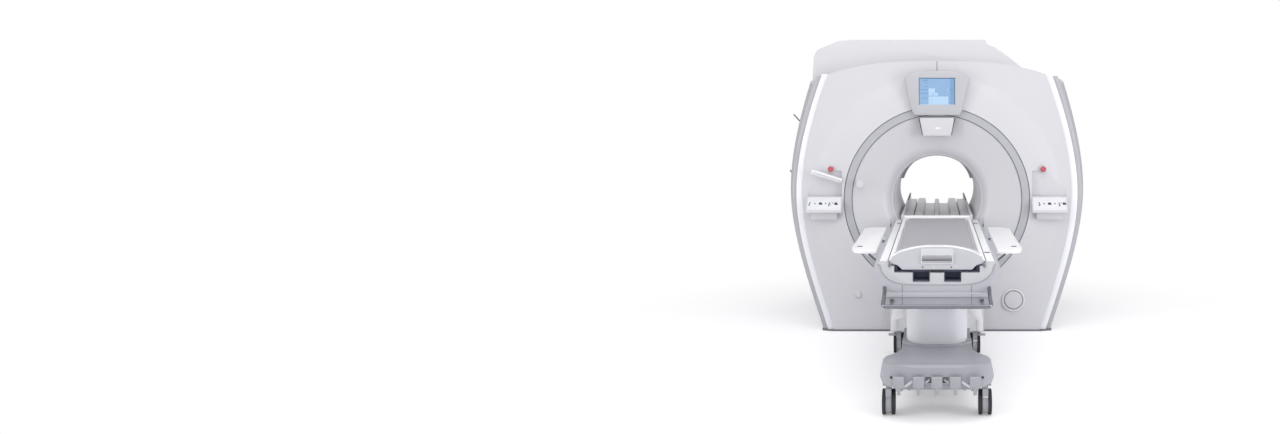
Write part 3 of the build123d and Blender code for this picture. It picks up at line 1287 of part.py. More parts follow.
def pedal(x):
    # A flat tread with a stem below, at the end of a lever that turns on the cross shaft.
    half = PEDAL_WIDTH / 2
    tread = prism_x([
        (PEDAL_FRONT_Y, PEDAL_LOW_Z + 4), (PEDAL_FRONT_Y, PEDAL_HIGH_Z - 6),
        (PEDAL_FRONT_Y + 6, PEDAL_HIGH_Z), (PEDAL_FRONT_Y + 14, PEDAL_HIGH_Z),
        (PEDAL_FRONT_Y + 14, PEDAL_LOW_Z), (PEDAL_FRONT_Y + 4, PEDAL_LOW_Z),
    ], x - half, x + half)
    stem = block(x - 11, x + 11, PEDAL_FRONT_Y + 3, PEDAL_FRONT_Y + 13, PEDAL_STEM_Z, PEDAL_LOW_Z + 1)
    lever = prism_x([
        (PEDAL_FRONT_Y + 12, PEDAL_LOW_Z + 10), (PEDAL_FRONT_Y + 12, PEDAL_LOW_Z + 34),
        (PEDAL_PIVOT_Y - 8, PEDAL_PIVOT_Z + 10), (PEDAL_PIVOT_Y + 8, PEDAL_PIVOT_Z + 10),
        (PEDAL_PIVOT_Y + 11, PEDAL_PIVOT_Z), (PEDAL_PIVOT_Y + 6, PEDAL_PIVOT_Z - 10),
    ], x - 9, x + 9)
    pin_hole = rod((x - 10, PEDAL_PIVOT_Y, PEDAL_PIVOT_Z), (x + 10, PEDAL_PIVOT_Y, PEDAL_PIVOT_Z),
                   PEDAL_PIN_R + RUN_GAP)
    return tread + stem + (lever - pin_hole)


def build():
    nodes = {}
    nodes["floor_pan"] = floor_pan()
    nodes["magnet_feet"] = magnet_feet()
    nodes["vacuum_vessel"] = vacuum_vessel()
    nodes["magnet_coils"] = magnet_coils()
    nodes["gradient_coil"] = gradient_coil()
    nodes["rf_body_coil"] = rf_body_coil()
    nodes["cold_head"] = cold_head()
    nodes["bore_liner"] = bore_liner()
    nodes["bore_bridge"] = bore_bridge()
    nodes["rear_pedestal"] = rear_pedestal()
    mass = cover_mass()
    nodes["front_cover_left"], nodes["front_cover_right"] = front_covers(mass)
    nodes["ring_trim"] = ring_trim()
    nodes["bore_funnel"] = bore_funnel()
    nodes["dock_bay"] = dock_bay()
    nodes["dock_housing"] = dock_housing(mass)
    nodes["light_strips"] = both_sides(light_strip())
    nodes["side_trims"] = both_sides(side_trim())
    nodes["side_covers"] = both_sides(side_cover())
    nodes["top_cover"] = top_cover()
    nodes["rear_cover"] = rear_cover()
    nodes["rear_funnel"] = rear_funnel()
    nodes["display_bezel"] = display_bezel(mass)
    nodes["display_screen"] = display_screen()
    nodes["laser_housing"] = laser_housing()
    nodes["control_shelves"] = group([control_shelf(side, mass) for side in (-1, 1)])
    nodes["stop_collars"] = group([stop_collar(side, mass) for side in (-1, 1)])
    nodes["stop_button_left"] = stop_button(-1)
    nodes["stop_button_right"] = stop_button(1)
    nodes["cable_rests"] = group([cable_rest_bar(mass), cable_rest_knob(), cover_cap(mass)])
    nodes["round_port"] = round_port(mass)

    nodes["lower_shell"] = lower_shell() + arm_lugs() + mirrored(arm_lugs())
    nodes["side_rails"] = both_sides(side_rail())
    nodes["end_bumper"] = end_bumper()
    nodes["bumper_liner"] = bumper_liner()
    nodes["push_bar"] = push_bar()
    nodes["column_shroud"] = column_shroud()
    nodes["lift_cylinder"] = lift_cylinder()
    nodes["lift_ram"] = lift_ram()
    nodes["cradle"] = cradle()
    nodes["cradle_pad"] = cradle_pad()
    nodes["foot_panel"] = foot_panel()
    nodes["arm_board_right"] = arm_board()
    nodes["arm_board_left"] = mirrored(arm_board())

    nodes["base_frame"] = base_frame()
    nodes["base_cover"] = base_cover()
    nodes["rear_leg_covers"] = both_sides(rear_leg_cover())
    for name, x in zip(("far_left", "left", "middle", "right", "far_right"), PEDAL_XS):
        nodes["pedal_" + name] = pedal(x)
    for end, y in (("front", FRONT_CASTER_Y), ("rear", REAR_CASTER_Y)):
        for hand, x in (("left", -CASTER_X), ("right", CASTER_X)):
            fork, wheels = caster(x, y)
            nodes[f"caster_fork_{end}_{hand}"] = fork
            nodes[f"caster_wheels_{end}_{hand}"] = wheels
    return nodes


os.makedirs("parts", exist_ok=True)
for node, shape in build().items():
    export_step(shape, f"parts/{node}.step")
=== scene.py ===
import math
import bmesh
import bpy
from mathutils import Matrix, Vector


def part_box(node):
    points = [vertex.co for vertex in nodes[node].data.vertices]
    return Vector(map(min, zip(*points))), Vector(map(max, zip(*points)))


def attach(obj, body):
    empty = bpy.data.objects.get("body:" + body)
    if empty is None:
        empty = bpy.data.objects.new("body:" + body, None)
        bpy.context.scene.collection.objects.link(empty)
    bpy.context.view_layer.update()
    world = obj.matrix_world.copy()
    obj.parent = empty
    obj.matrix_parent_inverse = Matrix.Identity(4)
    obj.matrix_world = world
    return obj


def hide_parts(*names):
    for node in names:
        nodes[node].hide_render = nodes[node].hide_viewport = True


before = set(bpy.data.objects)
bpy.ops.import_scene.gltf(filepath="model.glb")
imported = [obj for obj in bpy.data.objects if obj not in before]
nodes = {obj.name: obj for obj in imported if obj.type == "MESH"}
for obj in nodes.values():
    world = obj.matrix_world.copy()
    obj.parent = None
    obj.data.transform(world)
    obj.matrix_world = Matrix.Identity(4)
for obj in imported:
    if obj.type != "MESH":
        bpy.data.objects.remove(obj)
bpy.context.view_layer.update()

print("frame loaded:", len(nodes), "nodes")


# Small helpers

def hexColor(text, alpha=1.0):
    parts = [int(text[i:i + 2], 16) / 255 for i in (1, 3, 5)]
    linear = [p / 12.92 if p <= 0.04045 else ((p + 0.055) / 1.055) ** 2.4 for p in parts]
    return (*linear, alpha)


def addNode(tree, kind, values=None, links=None, **settings):
    node = tree.nodes.new(kind)
    for name, value in settings.items():
        setattr(node, name, value)
    for name, value in (values or {}).items():
        node.inputs[name].default_value = value
    for name, source in (links or {}).items():
        tree.links.new(source, node.inputs[name])
    return node


def newMaterial(name):
    material = bpy.data.materials.new(name)
    material.use_nodes = True
    material.node_tree.nodes.clear()
    return material, material.node_tree


# Finishes

def mouldedFinish(name, look):
    # Moulded or painted skin: a slow drift of tone over the panel and a fine grain
    material, tree = newMaterial(name)
    place = addNode(tree, "ShaderNodeTexCoord").outputs["Object"]
    drift = addNode(tree, "ShaderNodeTexNoise", {"Scale": 1000 / look["driftMm"], "Detail": 2.0},
                    {"Vector": place})
    tone = addNode(tree, "ShaderNodeMixRGB",
                   {"Color1": hexColor(look["shade"]), "Color2": hexColor(look["colour"])},
                   {"Fac": drift.outputs["Fac"]})
    grain = addNode(tree, "ShaderNodeTexNoise", {"Scale": 1000 / look["grainMm"], "Detail": 3.0},
                    {"Vector": place})
    bump = addNode(tree, "ShaderNodeBump", {"Strength": look["grain"], "Distance": 0.0004},
                   {"Height": grain.outputs["Fac"]})
    surface = addNode(tree, "ShaderNodeBsdfPrincipled",
                      {"Roughness": look["rough"], "Metallic": look.get("metal", 0.0),
                       "IOR": look.get("ior", 1.5), "Coat Weight": look.get("coat", 0.0),
                       "Coat Roughness": 0.12},
                      {"Base Color": tone.outputs["Color"], "Normal": bump.outputs["Normal"]})
    addNode(tree, "ShaderNodeOutputMaterial", links={"Surface": surface.outputs["BSDF"]})
    return material


finishLooks = {
    # painted polyurethane covers: satin white, slightly cool
    "coverPaint": {"colour": "#D0D0D4", "shade": "#CCCCD1", "driftMm": 900, "grainMm": 1.6,
                   "grain": 0.05, "rough": 0.38, "coat": 0.15},
    # the cover paint again on the display's surround, painted one shade greyer for the shade on its face
    "bezelShadedPaint": {"colour": "#BCBCC2", "shade": "#B8B8BE", "driftMm": 500, "grainMm": 1.2,
                   "grain": 0.04, "rough": 0.36, "coat": 0.2},
    # moulded ABS of the ring and the side trims: a quiet mid grey
    "trimAbs": {"colour": "#B5B5BB", "shade": "#AFAFB6", "driftMm": 700, "grainMm": 1.2,
                "grain": 0.06, "rough": 0.45},
    # the cover paint again on the side covers, less sheen, painted light grey for the shade on these sideways
    # faces
    "sideShadedPaint": {"colour": "#B8B8BD", "shade": "#B2B2B8", "driftMm": 900, "grainMm": 1.6,
                  "grain": 0.05, "rough": 0.42},
    # frosted acrylic light strips: the brightest white, with a soft gloss
    "stripAcrylic": {"colour": "#EEEEF3", "shade": "#EAEAF0", "driftMm": 600, "grainMm": 0.8,
                     "grain": 0.02, "rough": 0.3, "coat": 0.3},
    # glass-fibre bore tube under a gel coat: smooth satin white
    "boreGelcoat": {"colour": "#E8E8EC", "shade": "#E4E4E9", "driftMm": 800, "grainMm": 1.4,
                    "grain": 0.04, "rough": 0.36, "coat": 0.2},
    # powder coat on the floor pan: dark grey with a visible grain
    "panPowder": {"colour": "#77777C", "shade": "#6B6B70", "driftMm": 300, "grainMm": 0.9,
                  "grain": 0.2, "rough": 0.6},
    # moulded ABS of the table's covers: clean white satin
    "tableAbs": {"colour": "#F8F8FA", "shade": "#F4F4F7", "driftMm": 500, "grainMm": 1.0,
                 "grain": 0.05, "rough": 0.36, "coat": 0.15},
    # the table's ABS on the foot end, painted a shade greyer for the shade on these end faces
    "footShadedAbs": {"colour": "#C8C8CE", "shade": "#C3C3CA", "driftMm": 400, "grainMm": 1.0,
                 "grain": 0.05, "rough": 0.36, "coat": 0.15},
    # moulded pale ABS with a sheen: lift column, slot frame; on the bore's lip it is a painted highlight
    "paleAbsAndLipHighlight": {"colour": "#DADAE0", "shade": "#D4D4DB", "driftMm": 400, "grainMm": 1.0,
                "grain": 0.05, "rough": 0.32, "coat": 0.25},
    # moulded ABS of the table's underside: middle grey
    "shellAbs": {"colour": "#BCBCC4", "shade": "#B6B6BF", "driftMm": 500, "grainMm": 1.0,
                 "grain": 0.06, "rough": 0.4, "coat": 0.1},
    # moulded ABS of the hood and the pedals: darker grey; on the skirt it paints the shade under the lip
    "greyAbsAndSkirtShade": {"colour": "#A9A9B1", "shade": "#A3A3AC", "driftMm": 500, "grainMm": 1.0,
                     "grain": 0.06, "rough": 0.4, "coat": 0.1},
    # moulded polypropylene liner behind the sockets: dull blue grey
    "linerPp": {"colour": "#757B92", "shade": "#6C728A", "driftMm": 200, "grainMm": 0.8,
                "grain": 0.15, "rough": 0.55},
    # bare and zinc-plated steel: grey metal with a fine grain
    "zincSteel": {"colour": "#A9ABB0", "shade": "#94979D", "driftMm": 120, "grainMm": 0.5,
                  "grain": 0.1, "rough": 0.35, "metal": 1.0},
    # painted steel vessel: even light grey
    "vesselPaint": {"colour": "#C9CBD0", "shade": "#BFC2C8", "driftMm": 500, "grainMm": 1.2,
                    "grain": 0.1, "rough": 0.5},
    # resin-bound windings: dull grey brown with a coarse grain
    "windingResin": {"colour": "#8B8178", "shade": "#786E66", "driftMm": 60, "grainMm": 2.5,
                     "grain": 0.4, "rough": 0.5},
    # chromed steel tube: dark and light reflections along its length
    "chromeTube": {"colour": "#92929A", "shade": "#8A8A92", "driftMm": 300, "grainMm": 0.6,
                   "grain": 0.02, "rough": 0.16, "metal": 1.0},
    # moulded nylon caster fork: matt grey
    "forkNylon": {"colour": "#B7B7BD", "shade": "#AFAFB6", "driftMm": 150, "grainMm": 0.8,
                  "grain": 0.12, "rough": 0.5},
    # thermoplastic tyre tread: near black, matt
    "tyreRubber": {"colour": "#35353A", "shade": "#2B2B30", "driftMm": 80, "grainMm": 0.7,
                   "grain": 0.25, "rough": 0.7},
    # moulded stop button: glossy red
    "stopRed": {"colour": "#C05A66", "shade": "#B4505C", "driftMm": 60, "grainMm": 0.6,
                "grain": 0.03, "rough": 0.25, "coat": 0.4},
    # screen glass: black and mirror-smooth
    "screenGlass": {"colour": "#1B2230", "shade": "#18202C", "driftMm": 200, "grainMm": 1.0,
                    "grain": 0.0, "rough": 0.08, "coat": 0.6},
    # printed symbols: dark, without sheen
    "symbolInk": {"colour": "#2A2B32", "shade": "#222329", "driftMm": 60, "grainMm": 0.6,
                  "grain": 0.05, "rough": 0.5},
    # dark coated steel of the knobs, and the painted shade on the arm hangers: a dull dark grey
    "knobDarkAndHangerShade": {"colour": "#6E6E76", "shade": "#62626A", "driftMm": 60, "grainMm": 0.8,
                 "grain": 0.1, "rough": 0.45},
    # moulded latch tabs, hooks and the port's groove: mid grey
    "latchGrey": {"colour": "#8A8A92", "shade": "#7E7E87", "driftMm": 60, "grainMm": 0.7,
                  "grain": 0.08, "rough": 0.45},
    # moulded nylon hub discs: mid grey against the dark tyre
    "hubNylon": {"colour": "#8E8E95", "shade": "#84848B", "driftMm": 80, "grainMm": 0.7,
                 "grain": 0.1, "rough": 0.45},
    # white moulded or printed small parts: plain white, satin; on the port's rim it is a painted highlight
    "markWhiteAndHighlight": {"colour": "#EEEEF1", "shade": "#E8E8EC", "driftMm": 100, "grainMm": 0.6,
                  "grain": 0.04, "rough": 0.4},
    # joint between two mouldings: dark and nearly unlit
    "seamShadow": {"colour": "#4C4C54", "shade": "#42424A", "driftMm": 100, "grainMm": 0.6,
                   "grain": 0.05, "rough": 0.8},
    # coated fabric of the pad: a fine pebbled skin, drawn coarser than life so that it shows
    "padFabric": {"colour": "#AFAFB4", "shade": "#A9A9AF", "driftMm": 400, "grainMm": 1.8,
                  "grain": 0.35, "rough": 0.62},
    # printed membrane over the keys: pale grey
    "keyMembrane": {"colour": "#E0E0E5", "shade": "#DCDCE2", "driftMm": 200, "grainMm": 0.5,
                    "grain": 0.08, "rough": 0.45},
}
finish = {name: mouldedFinish(name, look) for name, look in finishLooks.items()}


def litFinish(name, look):
    # Lit display pixels under glass: the colour glows a little, with a faint drift over the panel
    material, tree = newMaterial(name)
    place = addNode(tree, "ShaderNodeTexCoord").outputs["Object"]
    drift = addNode(tree, "ShaderNodeTexNoise", {"Scale": 1000 / look["driftMm"], "Detail": 1.0},
                    {"Vector": place})
    tone = addNode(tree, "ShaderNodeMixRGB",
                   {"Color1": hexColor(look["shade"]), "Color2": hexColor(look["colour"])},
                   {"Fac": drift.outputs["Fac"]})
    surface = addNode(tree, "ShaderNodeBsdfPrincipled",
                      {"Roughness": 0.3, "IOR": 1.5, "Emission Strength": look["glow"]},
                      {"Base Color": tone.outputs["Color"], "Emission Color": tone.outputs["Color"]})
    addNode(tree, "ShaderNodeOutputMaterial", links={"Surface": surface.outputs["BSDF"]})
    return material


litLooks = {
    # blue field of the display
    "screenBlue": {"colour": "#87A7C9", "shade": "#81A2C5", "driftMm": 120, "glow": 0.1},
    # deeper blue column at its right
    "screenDeep": {"colour": "#7798BD", "shade": "#7193B8", "driftMm": 120, "glow": 0.1},
    # shadow of the bezel on the glass
    "screenShade": {"colour": "#4F7396", "shade": "#48698B", "driftMm": 120, "glow": 0.08},
    # dark bars that stand for lines of text
    "screenInk": {"colour": "#4C6F94", "shade": "#44658A", "driftMm": 120, "glow": 0.08},
    # pale data fields
    "screenPale": {"colour": "#ABC8E1", "shade": "#A5C3DD", "driftMm": 120, "glow": 0.1},
    # painted highlight along the display's lower edge
    "screenHighlight": {"colour": "#E6EEF6", "shade": "#DEE8F1", "driftMm": 120, "glow": 0.08},
}
finish.update({name: litFinish(name, look) for name, look in litLooks.items()})
print("finishes:", len(finish))

finishOf = {
    "coverPaint": ["front_cover_left", "front_cover_right", "bore_funnel", "top_cover", "rear_cover",
                   "rear_funnel", "laser_housing", "control_shelves", "stop_collars",
                   "cable_rests", "round_port", "dock_housing", "rear_pedestal"],
    "bezelShadedPaint": ["display_bezel"],
    "trimAbs": ["ring_trim", "side_trims", "dock_bay"],
    "sideShadedPaint": ["side_covers"],
    "stripAcrylic": ["light_strips"],
    "boreGelcoat": ["bore_liner", "rf_body_coil", "bore_bridge"],
    "panPowder": ["floor_pan"],
    "tableAbs": ["side_rails", "cradle", "arm_board_left", "arm_board_right", "rear_leg_covers"],
    "footShadedAbs": ["end_bumper", "foot_panel"],
    "paleAbsAndLipHighlight": ["column_shroud"],
    "shellAbs": ["lower_shell"],
    "greyAbsAndSkirtShade": ["base_cover", "cradle_pad"] + [n for n in nodes if n.startswith("pedal_")],
    "linerPp": ["bumper_liner"],
    "zincSteel": ["magnet_feet", "cold_head", "base_frame", "lift_cylinder", "lift_ram"],
    "vesselPaint": ["vacuum_vessel"],
    "windingResin": ["magnet_coils", "gradient_coil"],
    "chromeTube": ["push_bar"],
    "stopRed": ["stop_button_left", "stop_button_right"],
    "screenGlass": ["display_screen"],
    "forkNylon": [n for n in nodes if n.startswith("caster_fork")],
    "tyreRubber": [n for n in nodes if n.startswith("caster_wheels")],
}
for finishName, members in finishOf.items():
    for member in members:
        nodes[member].data.materials.clear()
        nodes[member].data.materials.append(finish[finishName])

# Edges of the moulded nodes, rounded by this many metres so that they catch the light
roundLook = {"mergeGap": 0.00004, "flatAngle": 1.0, "keepEdge": 30.0, "segments": 2}
roundedNodes = {
    0.006: ["end_bumper", "foot_panel", "rear_leg_covers", "laser_housing"],
    0.004: ["side_rails", "arm_board_left", "arm_board_right", "cradle", "control_shelves", "dock_housing",
            "top_cover", "column_shroud"],
    0.0025: [n for n in nodes if n.startswith("pedal_")] + ["round_port", "stop_collars", "side_trims",
                                                           "light_strips", "lower_shell", "display_bezel"],
}
roundOf = {member: width for width, members in roundedNodes.items() for member in members}


def smoothNode(name, node):
    # The node's loose triangles are welded, flat areas made whole, edges rounded and shaded smooth
    weld = node.modifiers.new("weld", "WELD")
    weld.merge_threshold = roundLook["mergeGap"]
    if name in roundOf:
        flat = node.modifiers.new("flat", "DECIMATE")
        flat.decimate_type = "DISSOLVE"
        flat.angle_limit = math.radians(roundLook["flatAngle"])
        edge = node.modifiers.new("edge", "BEVEL")
        edge.width = roundOf[name]
        edge.segments = roundLook["segments"]
        edge.limit_method = "ANGLE"
        edge.angle_limit = math.radians(roundLook["keepEdge"])
        edge.use_clamp_overlap = True
    split = node.modifiers.new("split", "EDGE_SPLIT")
    split.split_angle = math.radians(roundLook["keepEdge"])
    node.data.polygons.foreach_set("use_smooth", [True] * len(node.data.polygons))


for name, node in nodes.items():
    smoothNode(name, node)
print("nodes finished and smoothed")


# Steps shared by the new pieces

def clearSelection():
    # Nothing stays selected from the step before
    if bpy.context.mode != "OBJECT":
        bpy.ops.object.mode_set(mode="OBJECT")
    bpy.ops.object.select_all(action="DESELECT")


def makeActive(piece):
    clearSelection()
    piece.select_set(True)
    bpy.context.view_layer.objects.active = piece


def settle(piece, name):
    # The piece's place, turn and scale go into its mesh
    piece.name = name
    makeActive(piece)
    bpy.ops.object.transform_apply(location=True, rotation=True, scale=True)
    return piece


def addBlock(name, low, high, lean=0.0, tilt=0.0):
    # A block between two corners, leaned about X and tilted about Y, in degrees
    clearSelection()
    middle = [(a + b) / 2 for a, b in zip(low, high)]
    bpy.ops.mesh.primitive_cube_add(size=1, location=middle,
                                    rotation=(math.radians(lean), math.radians(tilt), 0))
    piece = bpy.context.object
    piece.scale = [b - a for a, b in zip(low, high)]
    return settle(piece, name)


def sideBlock(name, side, xs, ys, zs):
    # A block whose X range is written for the right side
    near, far = sorted(side * x for x in xs)
    return addBlock(name, (near, ys[0], zs[0]), (far, ys[1], zs[1]))


def addRod(name, start, end, radius, sides=32):
    clearSelection()
    start, end = Vector(start), Vector(end)
    run = end - start
    bpy.ops.mesh.primitive_cylinder_add(vertices=sides, radius=radius, depth=run.length,
                                        location=(start + end) / 2,
                                        rotation=run.to_track_quat("Z", "Y").to_euler())
    return settle(bpy.context.object, name)


def addTube(name, points, radius, ringSteps):
    # A round bar along a smooth line that the points guide
    line = bpy.data.curves.new(name, "CURVE")
    line.dimensions = "3D"
    spline = line.splines.new("NURBS")
    spline.points.add(len(points) - 1)
    for point, place in zip(spline.points, points):
        point.co = (*place, 1.0)
    spline.order_u = 3
    spline.use_endpoint_u = True
    line.bevel_depth = radius
    line.bevel_resolution = ringSteps
    line.use_fill_caps = True
    tube = bpy.data.objects.new(name, line)
    bpy.context.scene.collection.objects.link(tube)
    makeActive(tube)
    bpy.ops.object.convert(target="MESH")
    return bpy.context.object


def useModifier(piece, kind, **settings):
    makeActive(piece)
    modifier = piece.modifiers.new("step", kind)
    for name, value in settings.items():
        setattr(modifier, name, value)
    bpy.ops.object.modifier_apply(modifier=modifier.name)


def softenEdges(piece, width, segments=3):
    useModifier(piece, "BEVEL", width=width, segments=segments, limit_method="ANGLE",
                angle_limit=math.radians(roundLook["keepEdge"]))


def cutAway(piece, cutter):
    useModifier(piece, "BOOLEAN", operation="DIFFERENCE", object=cutter, solver="EXACT")
    bpy.data.objects.remove(cutter)


def chooseFaces(piece, test):
    # Leaves the piece in edit mode with the faces that pass the test selected
    makeActive(piece)
    bpy.ops.object.mode_set(mode="EDIT")
    bpy.ops.mesh.select_mode(type="FACE")
    bpy.ops.mesh.select_all(action="DESELECT")
    mesh = bmesh.from_edit_mesh(piece.data)
    for face in mesh.faces:
        face.select_set(test(face))
    bmesh.update_edit_mesh(piece.data)


def roundLong(piece, axis, width, steps=6):
    # Rounds the edges that run along one axis
    makeActive(piece)
    bpy.ops.object.mode_set(mode="EDIT")
    bpy.ops.mesh.select_mode(type="EDGE")
    bpy.ops.mesh.select_all(action="DESELECT")
    mesh = bmesh.from_edit_mesh(piece.data)
    for line in mesh.edges:
        run = line.verts[0].co - line.verts[1].co
        line.select_set(abs(run[axis]) > 0.9 * run.length)
    bmesh.update_edit_mesh(piece.data)
    bpy.ops.mesh.bevel(offset=width, segments=steps, affect="EDGES")
    bpy.ops.object.mode_set(mode="OBJECT")


def paint(piece, finishName):
    piece.data.materials.clear()
    piece.data.materials.append(finish[finishName])
    return piece


def paintChosen(piece, finishName):
    # In edit mode: the selected faces get a second finish
    if finish[finishName].name not in piece.data.materials:
        piece.data.materials.append(finish[finishName])
    piece.active_material_index = piece.data.materials.find(finish[finishName].name)
    bpy.ops.object.material_slot_assign()


def joinPieces(name, pieces):
    makeActive(pieces[0])
    for piece in pieces[1:]:
        piece.select_set(True)
    if len(pieces) > 1:
        bpy.ops.object.join()
    pieces[0].name = name
    return pieces[0]


def copyPiece(piece, name, shift):
    # A copy with its own mesh, moved by a shift
    clearSelection()
    twin = piece.copy()
    twin.data = piece.data.copy()
    bpy.context.scene.collection.objects.link(twin)
    twin.location = shift
    return settle(twin, name)


def finishPiece(piece, body, slot, *replaced):
    makeActive(piece)
    bpy.ops.object.shade_smooth_by_angle(angle=math.radians(roundLook["keepEdge"]))
    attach(piece, body)
    if replaced:
        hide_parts(*replaced)


# Picture on the display: plain bars and fields, generic

screenLook = {
    "thick": 0.0008, "rim": 0.0024, "shade": 0.006, "barHeight": 0.0028,
    "lift": {"column": 0.0001, "shade": 0.0002, "field": 0.0002, "bar": 0.0003, "gap": 0.0004, "rim": 0.0006},
    "bars": [(-0.118, -0.070, 2.023), (-0.098, -0.075, 2.004), (-0.098, -0.075, 1.976),
             (-0.134, -0.070, 1.949), (-0.134, -0.066, 1.922), (-0.119, -0.071, 1.884),
             (0.098, 0.126, 1.950), (-0.038, -0.022, 1.914)],
    "fields": [(-0.066, -0.015, 1.926, 1.960), (-0.066, 0.009, 1.904, 1.924), (-0.066, 0.089, 1.836, 1.897),
               (0.081, 0.089, 1.946, 1.954)],
    "column": (0.104, 0.1365),
    "gaps": [-0.050, -0.036], "gapWide": 0.0015, "gapShort": 0.008,
}


def makeScreenPicture():
    look = screenLook
    low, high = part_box("display_screen")
    face = low[1] - look["thick"]
    rim, shade, half = look["rim"], look["shade"], look["barHeight"] / 2

    def layer(kind, x0, x1, z0, z1, finishName):
        lift = look["lift"].get(kind, 0.0)
        return paint(addBlock(kind, (x0, face - lift, z0), (x1, low[1], z1)), finishName)

    x0, x1, z0, z1 = low[0] + rim, high[0] - rim, low[2] + rim, high[2] - rim
    parts = [layer("base", x0, x1, z0, z1, "screenBlue"),
             layer("column", look["column"][0], x1, z0, z1, "screenDeep"),
             layer("shade", x0, x1, z1 - shade / 2, z1, "screenShade"),
             layer("shade", x0, x0 + shade / 3, z0, z1, "screenShade"),
             layer("shade", x1 - shade / 3, x1, z0, z1, "screenShade")]
    parts += [layer("bar", left, right, z - half, z + half, "screenInk") for left, right, z in look["bars"]]
    parts += [layer("field", *field, "screenPale") for field in look["fields"]]
    bottom, top = look["fields"][2][2:]
    parts += [layer("gap", x, x + look["gapWide"], bottom, top - look["gapShort"], "screenBlue")
              for x in look["gaps"]]
    # painted shadow of the bezel on the sides and top, painted highlight along the bottom edge
    parts += [layer("rim", x, x + rim, low[2], high[2], "screenShade") for x in (low[0], high[0] - rim)]
    parts += [layer("rim", low[0], high[0], z1, high[2], "screenShade"),
              layer("rim", low[0], high[0], low[2], z0, "screenHighlight")]
    finishPiece(joinPieces("screen_picture", parts), "gantry", "display_dark")


makeScreenPicture()
print("display picture ready")


# Keypads on the two shelves: a pale membrane with dark symbols

keypadLook = {
    "centre": (0.898, -0.8475, 1.0515), "lean": -36.7, "half": (0.131, 0.058), "thick": 0.0012,
    "soft": 0.0005, "markProud": 0.0004, "markRoot": 0.0002,
    "symbols": {
        -1: [(-0.115, 0.0, "stroke"), (-0.072, 0.001, "gem"), (-0.029, 0.001, "hand"), (0.013, 0.001, "gem"),
             (0.041, -0.003, "stroke"), (0.066, 0.007, "dot"), (0.094, -0.001, "hand")],
        1: [(-0.083, -0.002, "stroke"), (-0.046, 0.0, "gem"), (-0.003, 0.0, "hand"), (0.040, 0.0, "gem"),
            (0.076, -0.006, "stroke"), (0.088, 0.008, "dot"), (0.114, 0.0, "hand")],
    },
    "shapes": {
        # each shape is a few small bars: centre x, centre z, width, height, tilt
        "stroke": [(0.0, 0.001, 0.0070, 0.030, 18), (-0.002, -0.014, 0.012, 0.006, 0)],
        "gem": [(0.0, 0.0, 0.0105, 0.0105, 45)],
        "dot": [(0.0, 0.0, 0.008, 0.008, 45), (-0.012, -0.016, 0.007, 0.007, 0)],
        "hand": [(0.0, -0.003, 0.025, 0.014, 0), (-0.004, 0.007, 0.010, 0.010, 20),
                 (0.006, 0.006, 0.007, 0.014, -15), (0.013, -0.006, 0.008, 0.009, 0)],
    },
}


def makeKeypads():
    look = keypadLook
    for side, hand in ((-1, "left"), (1, "right")):
        wide, tall = look["half"]
        plate = addBlock("plate", (-wide, -look["thick"], -tall), (wide, 0, tall))
        softenEdges(plate, look["soft"], 2)
        parts = [paint(plate, "keyMembrane")]
        for x, z, shape in look["symbols"][side]:
            for dx, dz, width, height, tilt in look["shapes"][shape]:
                low = (x + dx - width / 2, -look["thick"] - look["markProud"], z + dz - height / 2)
                high = (x + dx + width / 2, -look["thick"] + look["markRoot"], z + dz + height / 2)
                parts.append(paint(addBlock("mark", low, high, tilt=-side * tilt), "symbolInk"))
        pad = joinPieces("keypad_" + hand, parts)
        x, y, z = look["centre"]
        pad.rotation_euler = (math.radians(look["lean"]), 0, 0)
        pad.location = (side * x, y, z)
        finishPiece(settle(pad, "keypad_" + hand), "gantry", "gantry_white")


makeKeypads()
print("keypads ready")


# Twin-wheel casters: rounded tyres with pale hub discs

wheelLook = {"sides": 72, "round": 0.0055, "width": 0.020, "tyreDepth": 0.026, "hubSink": 0.003,
             "capInset": 0.024, "capRise": 0.002, "step": 0.001, "axleInset": 0.004, "axleRadius": 0.006}


def makeWheelPair(model):
    look = wheelLook
    low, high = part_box(model)
    x, y, z = [(a + b) / 2 for a, b in zip(low, high)]
    radius = (high[2] - low[2]) / 2
    parts = []
    for side in (-1, 1):
        inner = x + side * ((high[0] - low[0]) / 2 - look["width"])
        outer = x + side * (high[0] - low[0]) / 2
        tyre = paint(addRod("tyre", (inner, y, z), (outer, y, z), radius, look["sides"]), "tyreRubber")
        chooseFaces(tyre, lambda face: abs(face.normal.x) > 0.9)
        bpy.ops.mesh.inset(thickness=look["tyreDepth"])
        bpy.ops.mesh.inset(thickness=look["step"], depth=-look["hubSink"])
        paintChosen(tyre, "hubNylon")
        bpy.ops.mesh.inset(thickness=look["capInset"])
        bpy.ops.mesh.inset(thickness=look["step"], depth=look["capRise"])
        bpy.ops.object.mode_set(mode="OBJECT")
        softenEdges(tyre, look["round"], 4)
        parts.append(tyre)
    ends = low[0] + look["axleInset"], high[0] - look["axleInset"]
    axle = addRod("axle", (ends[0], y, z), (ends[1], y, z), look["axleRadius"], 24)
    parts.append(paint(axle, "zincSteel"))
    return joinPieces("wheelPair", parts)


def placeWheels():
    # One pair is modelled and copied to the four casters
    model = "caster_wheels_front_left"
    pair = makeWheelPair(model)
    for end in ("front", "rear"):
        for hand in ("left", "right"):
            stand = f"caster_wheels_{end}_{hand}"
            shift = Vector(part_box(stand)[0]) - Vector(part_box(model)[0])
            copy = copyPiece(pair, f"twin_wheels_{end}_{hand}", shift)
            finishPiece(copy, f"wheels_{end}_{hand}", "tyre_dark", stand)
    bpy.data.objects.remove(pair)


placeWheels()
print("casters ready")


# White marks across the right-hand forks and brake tabs on the rear ones

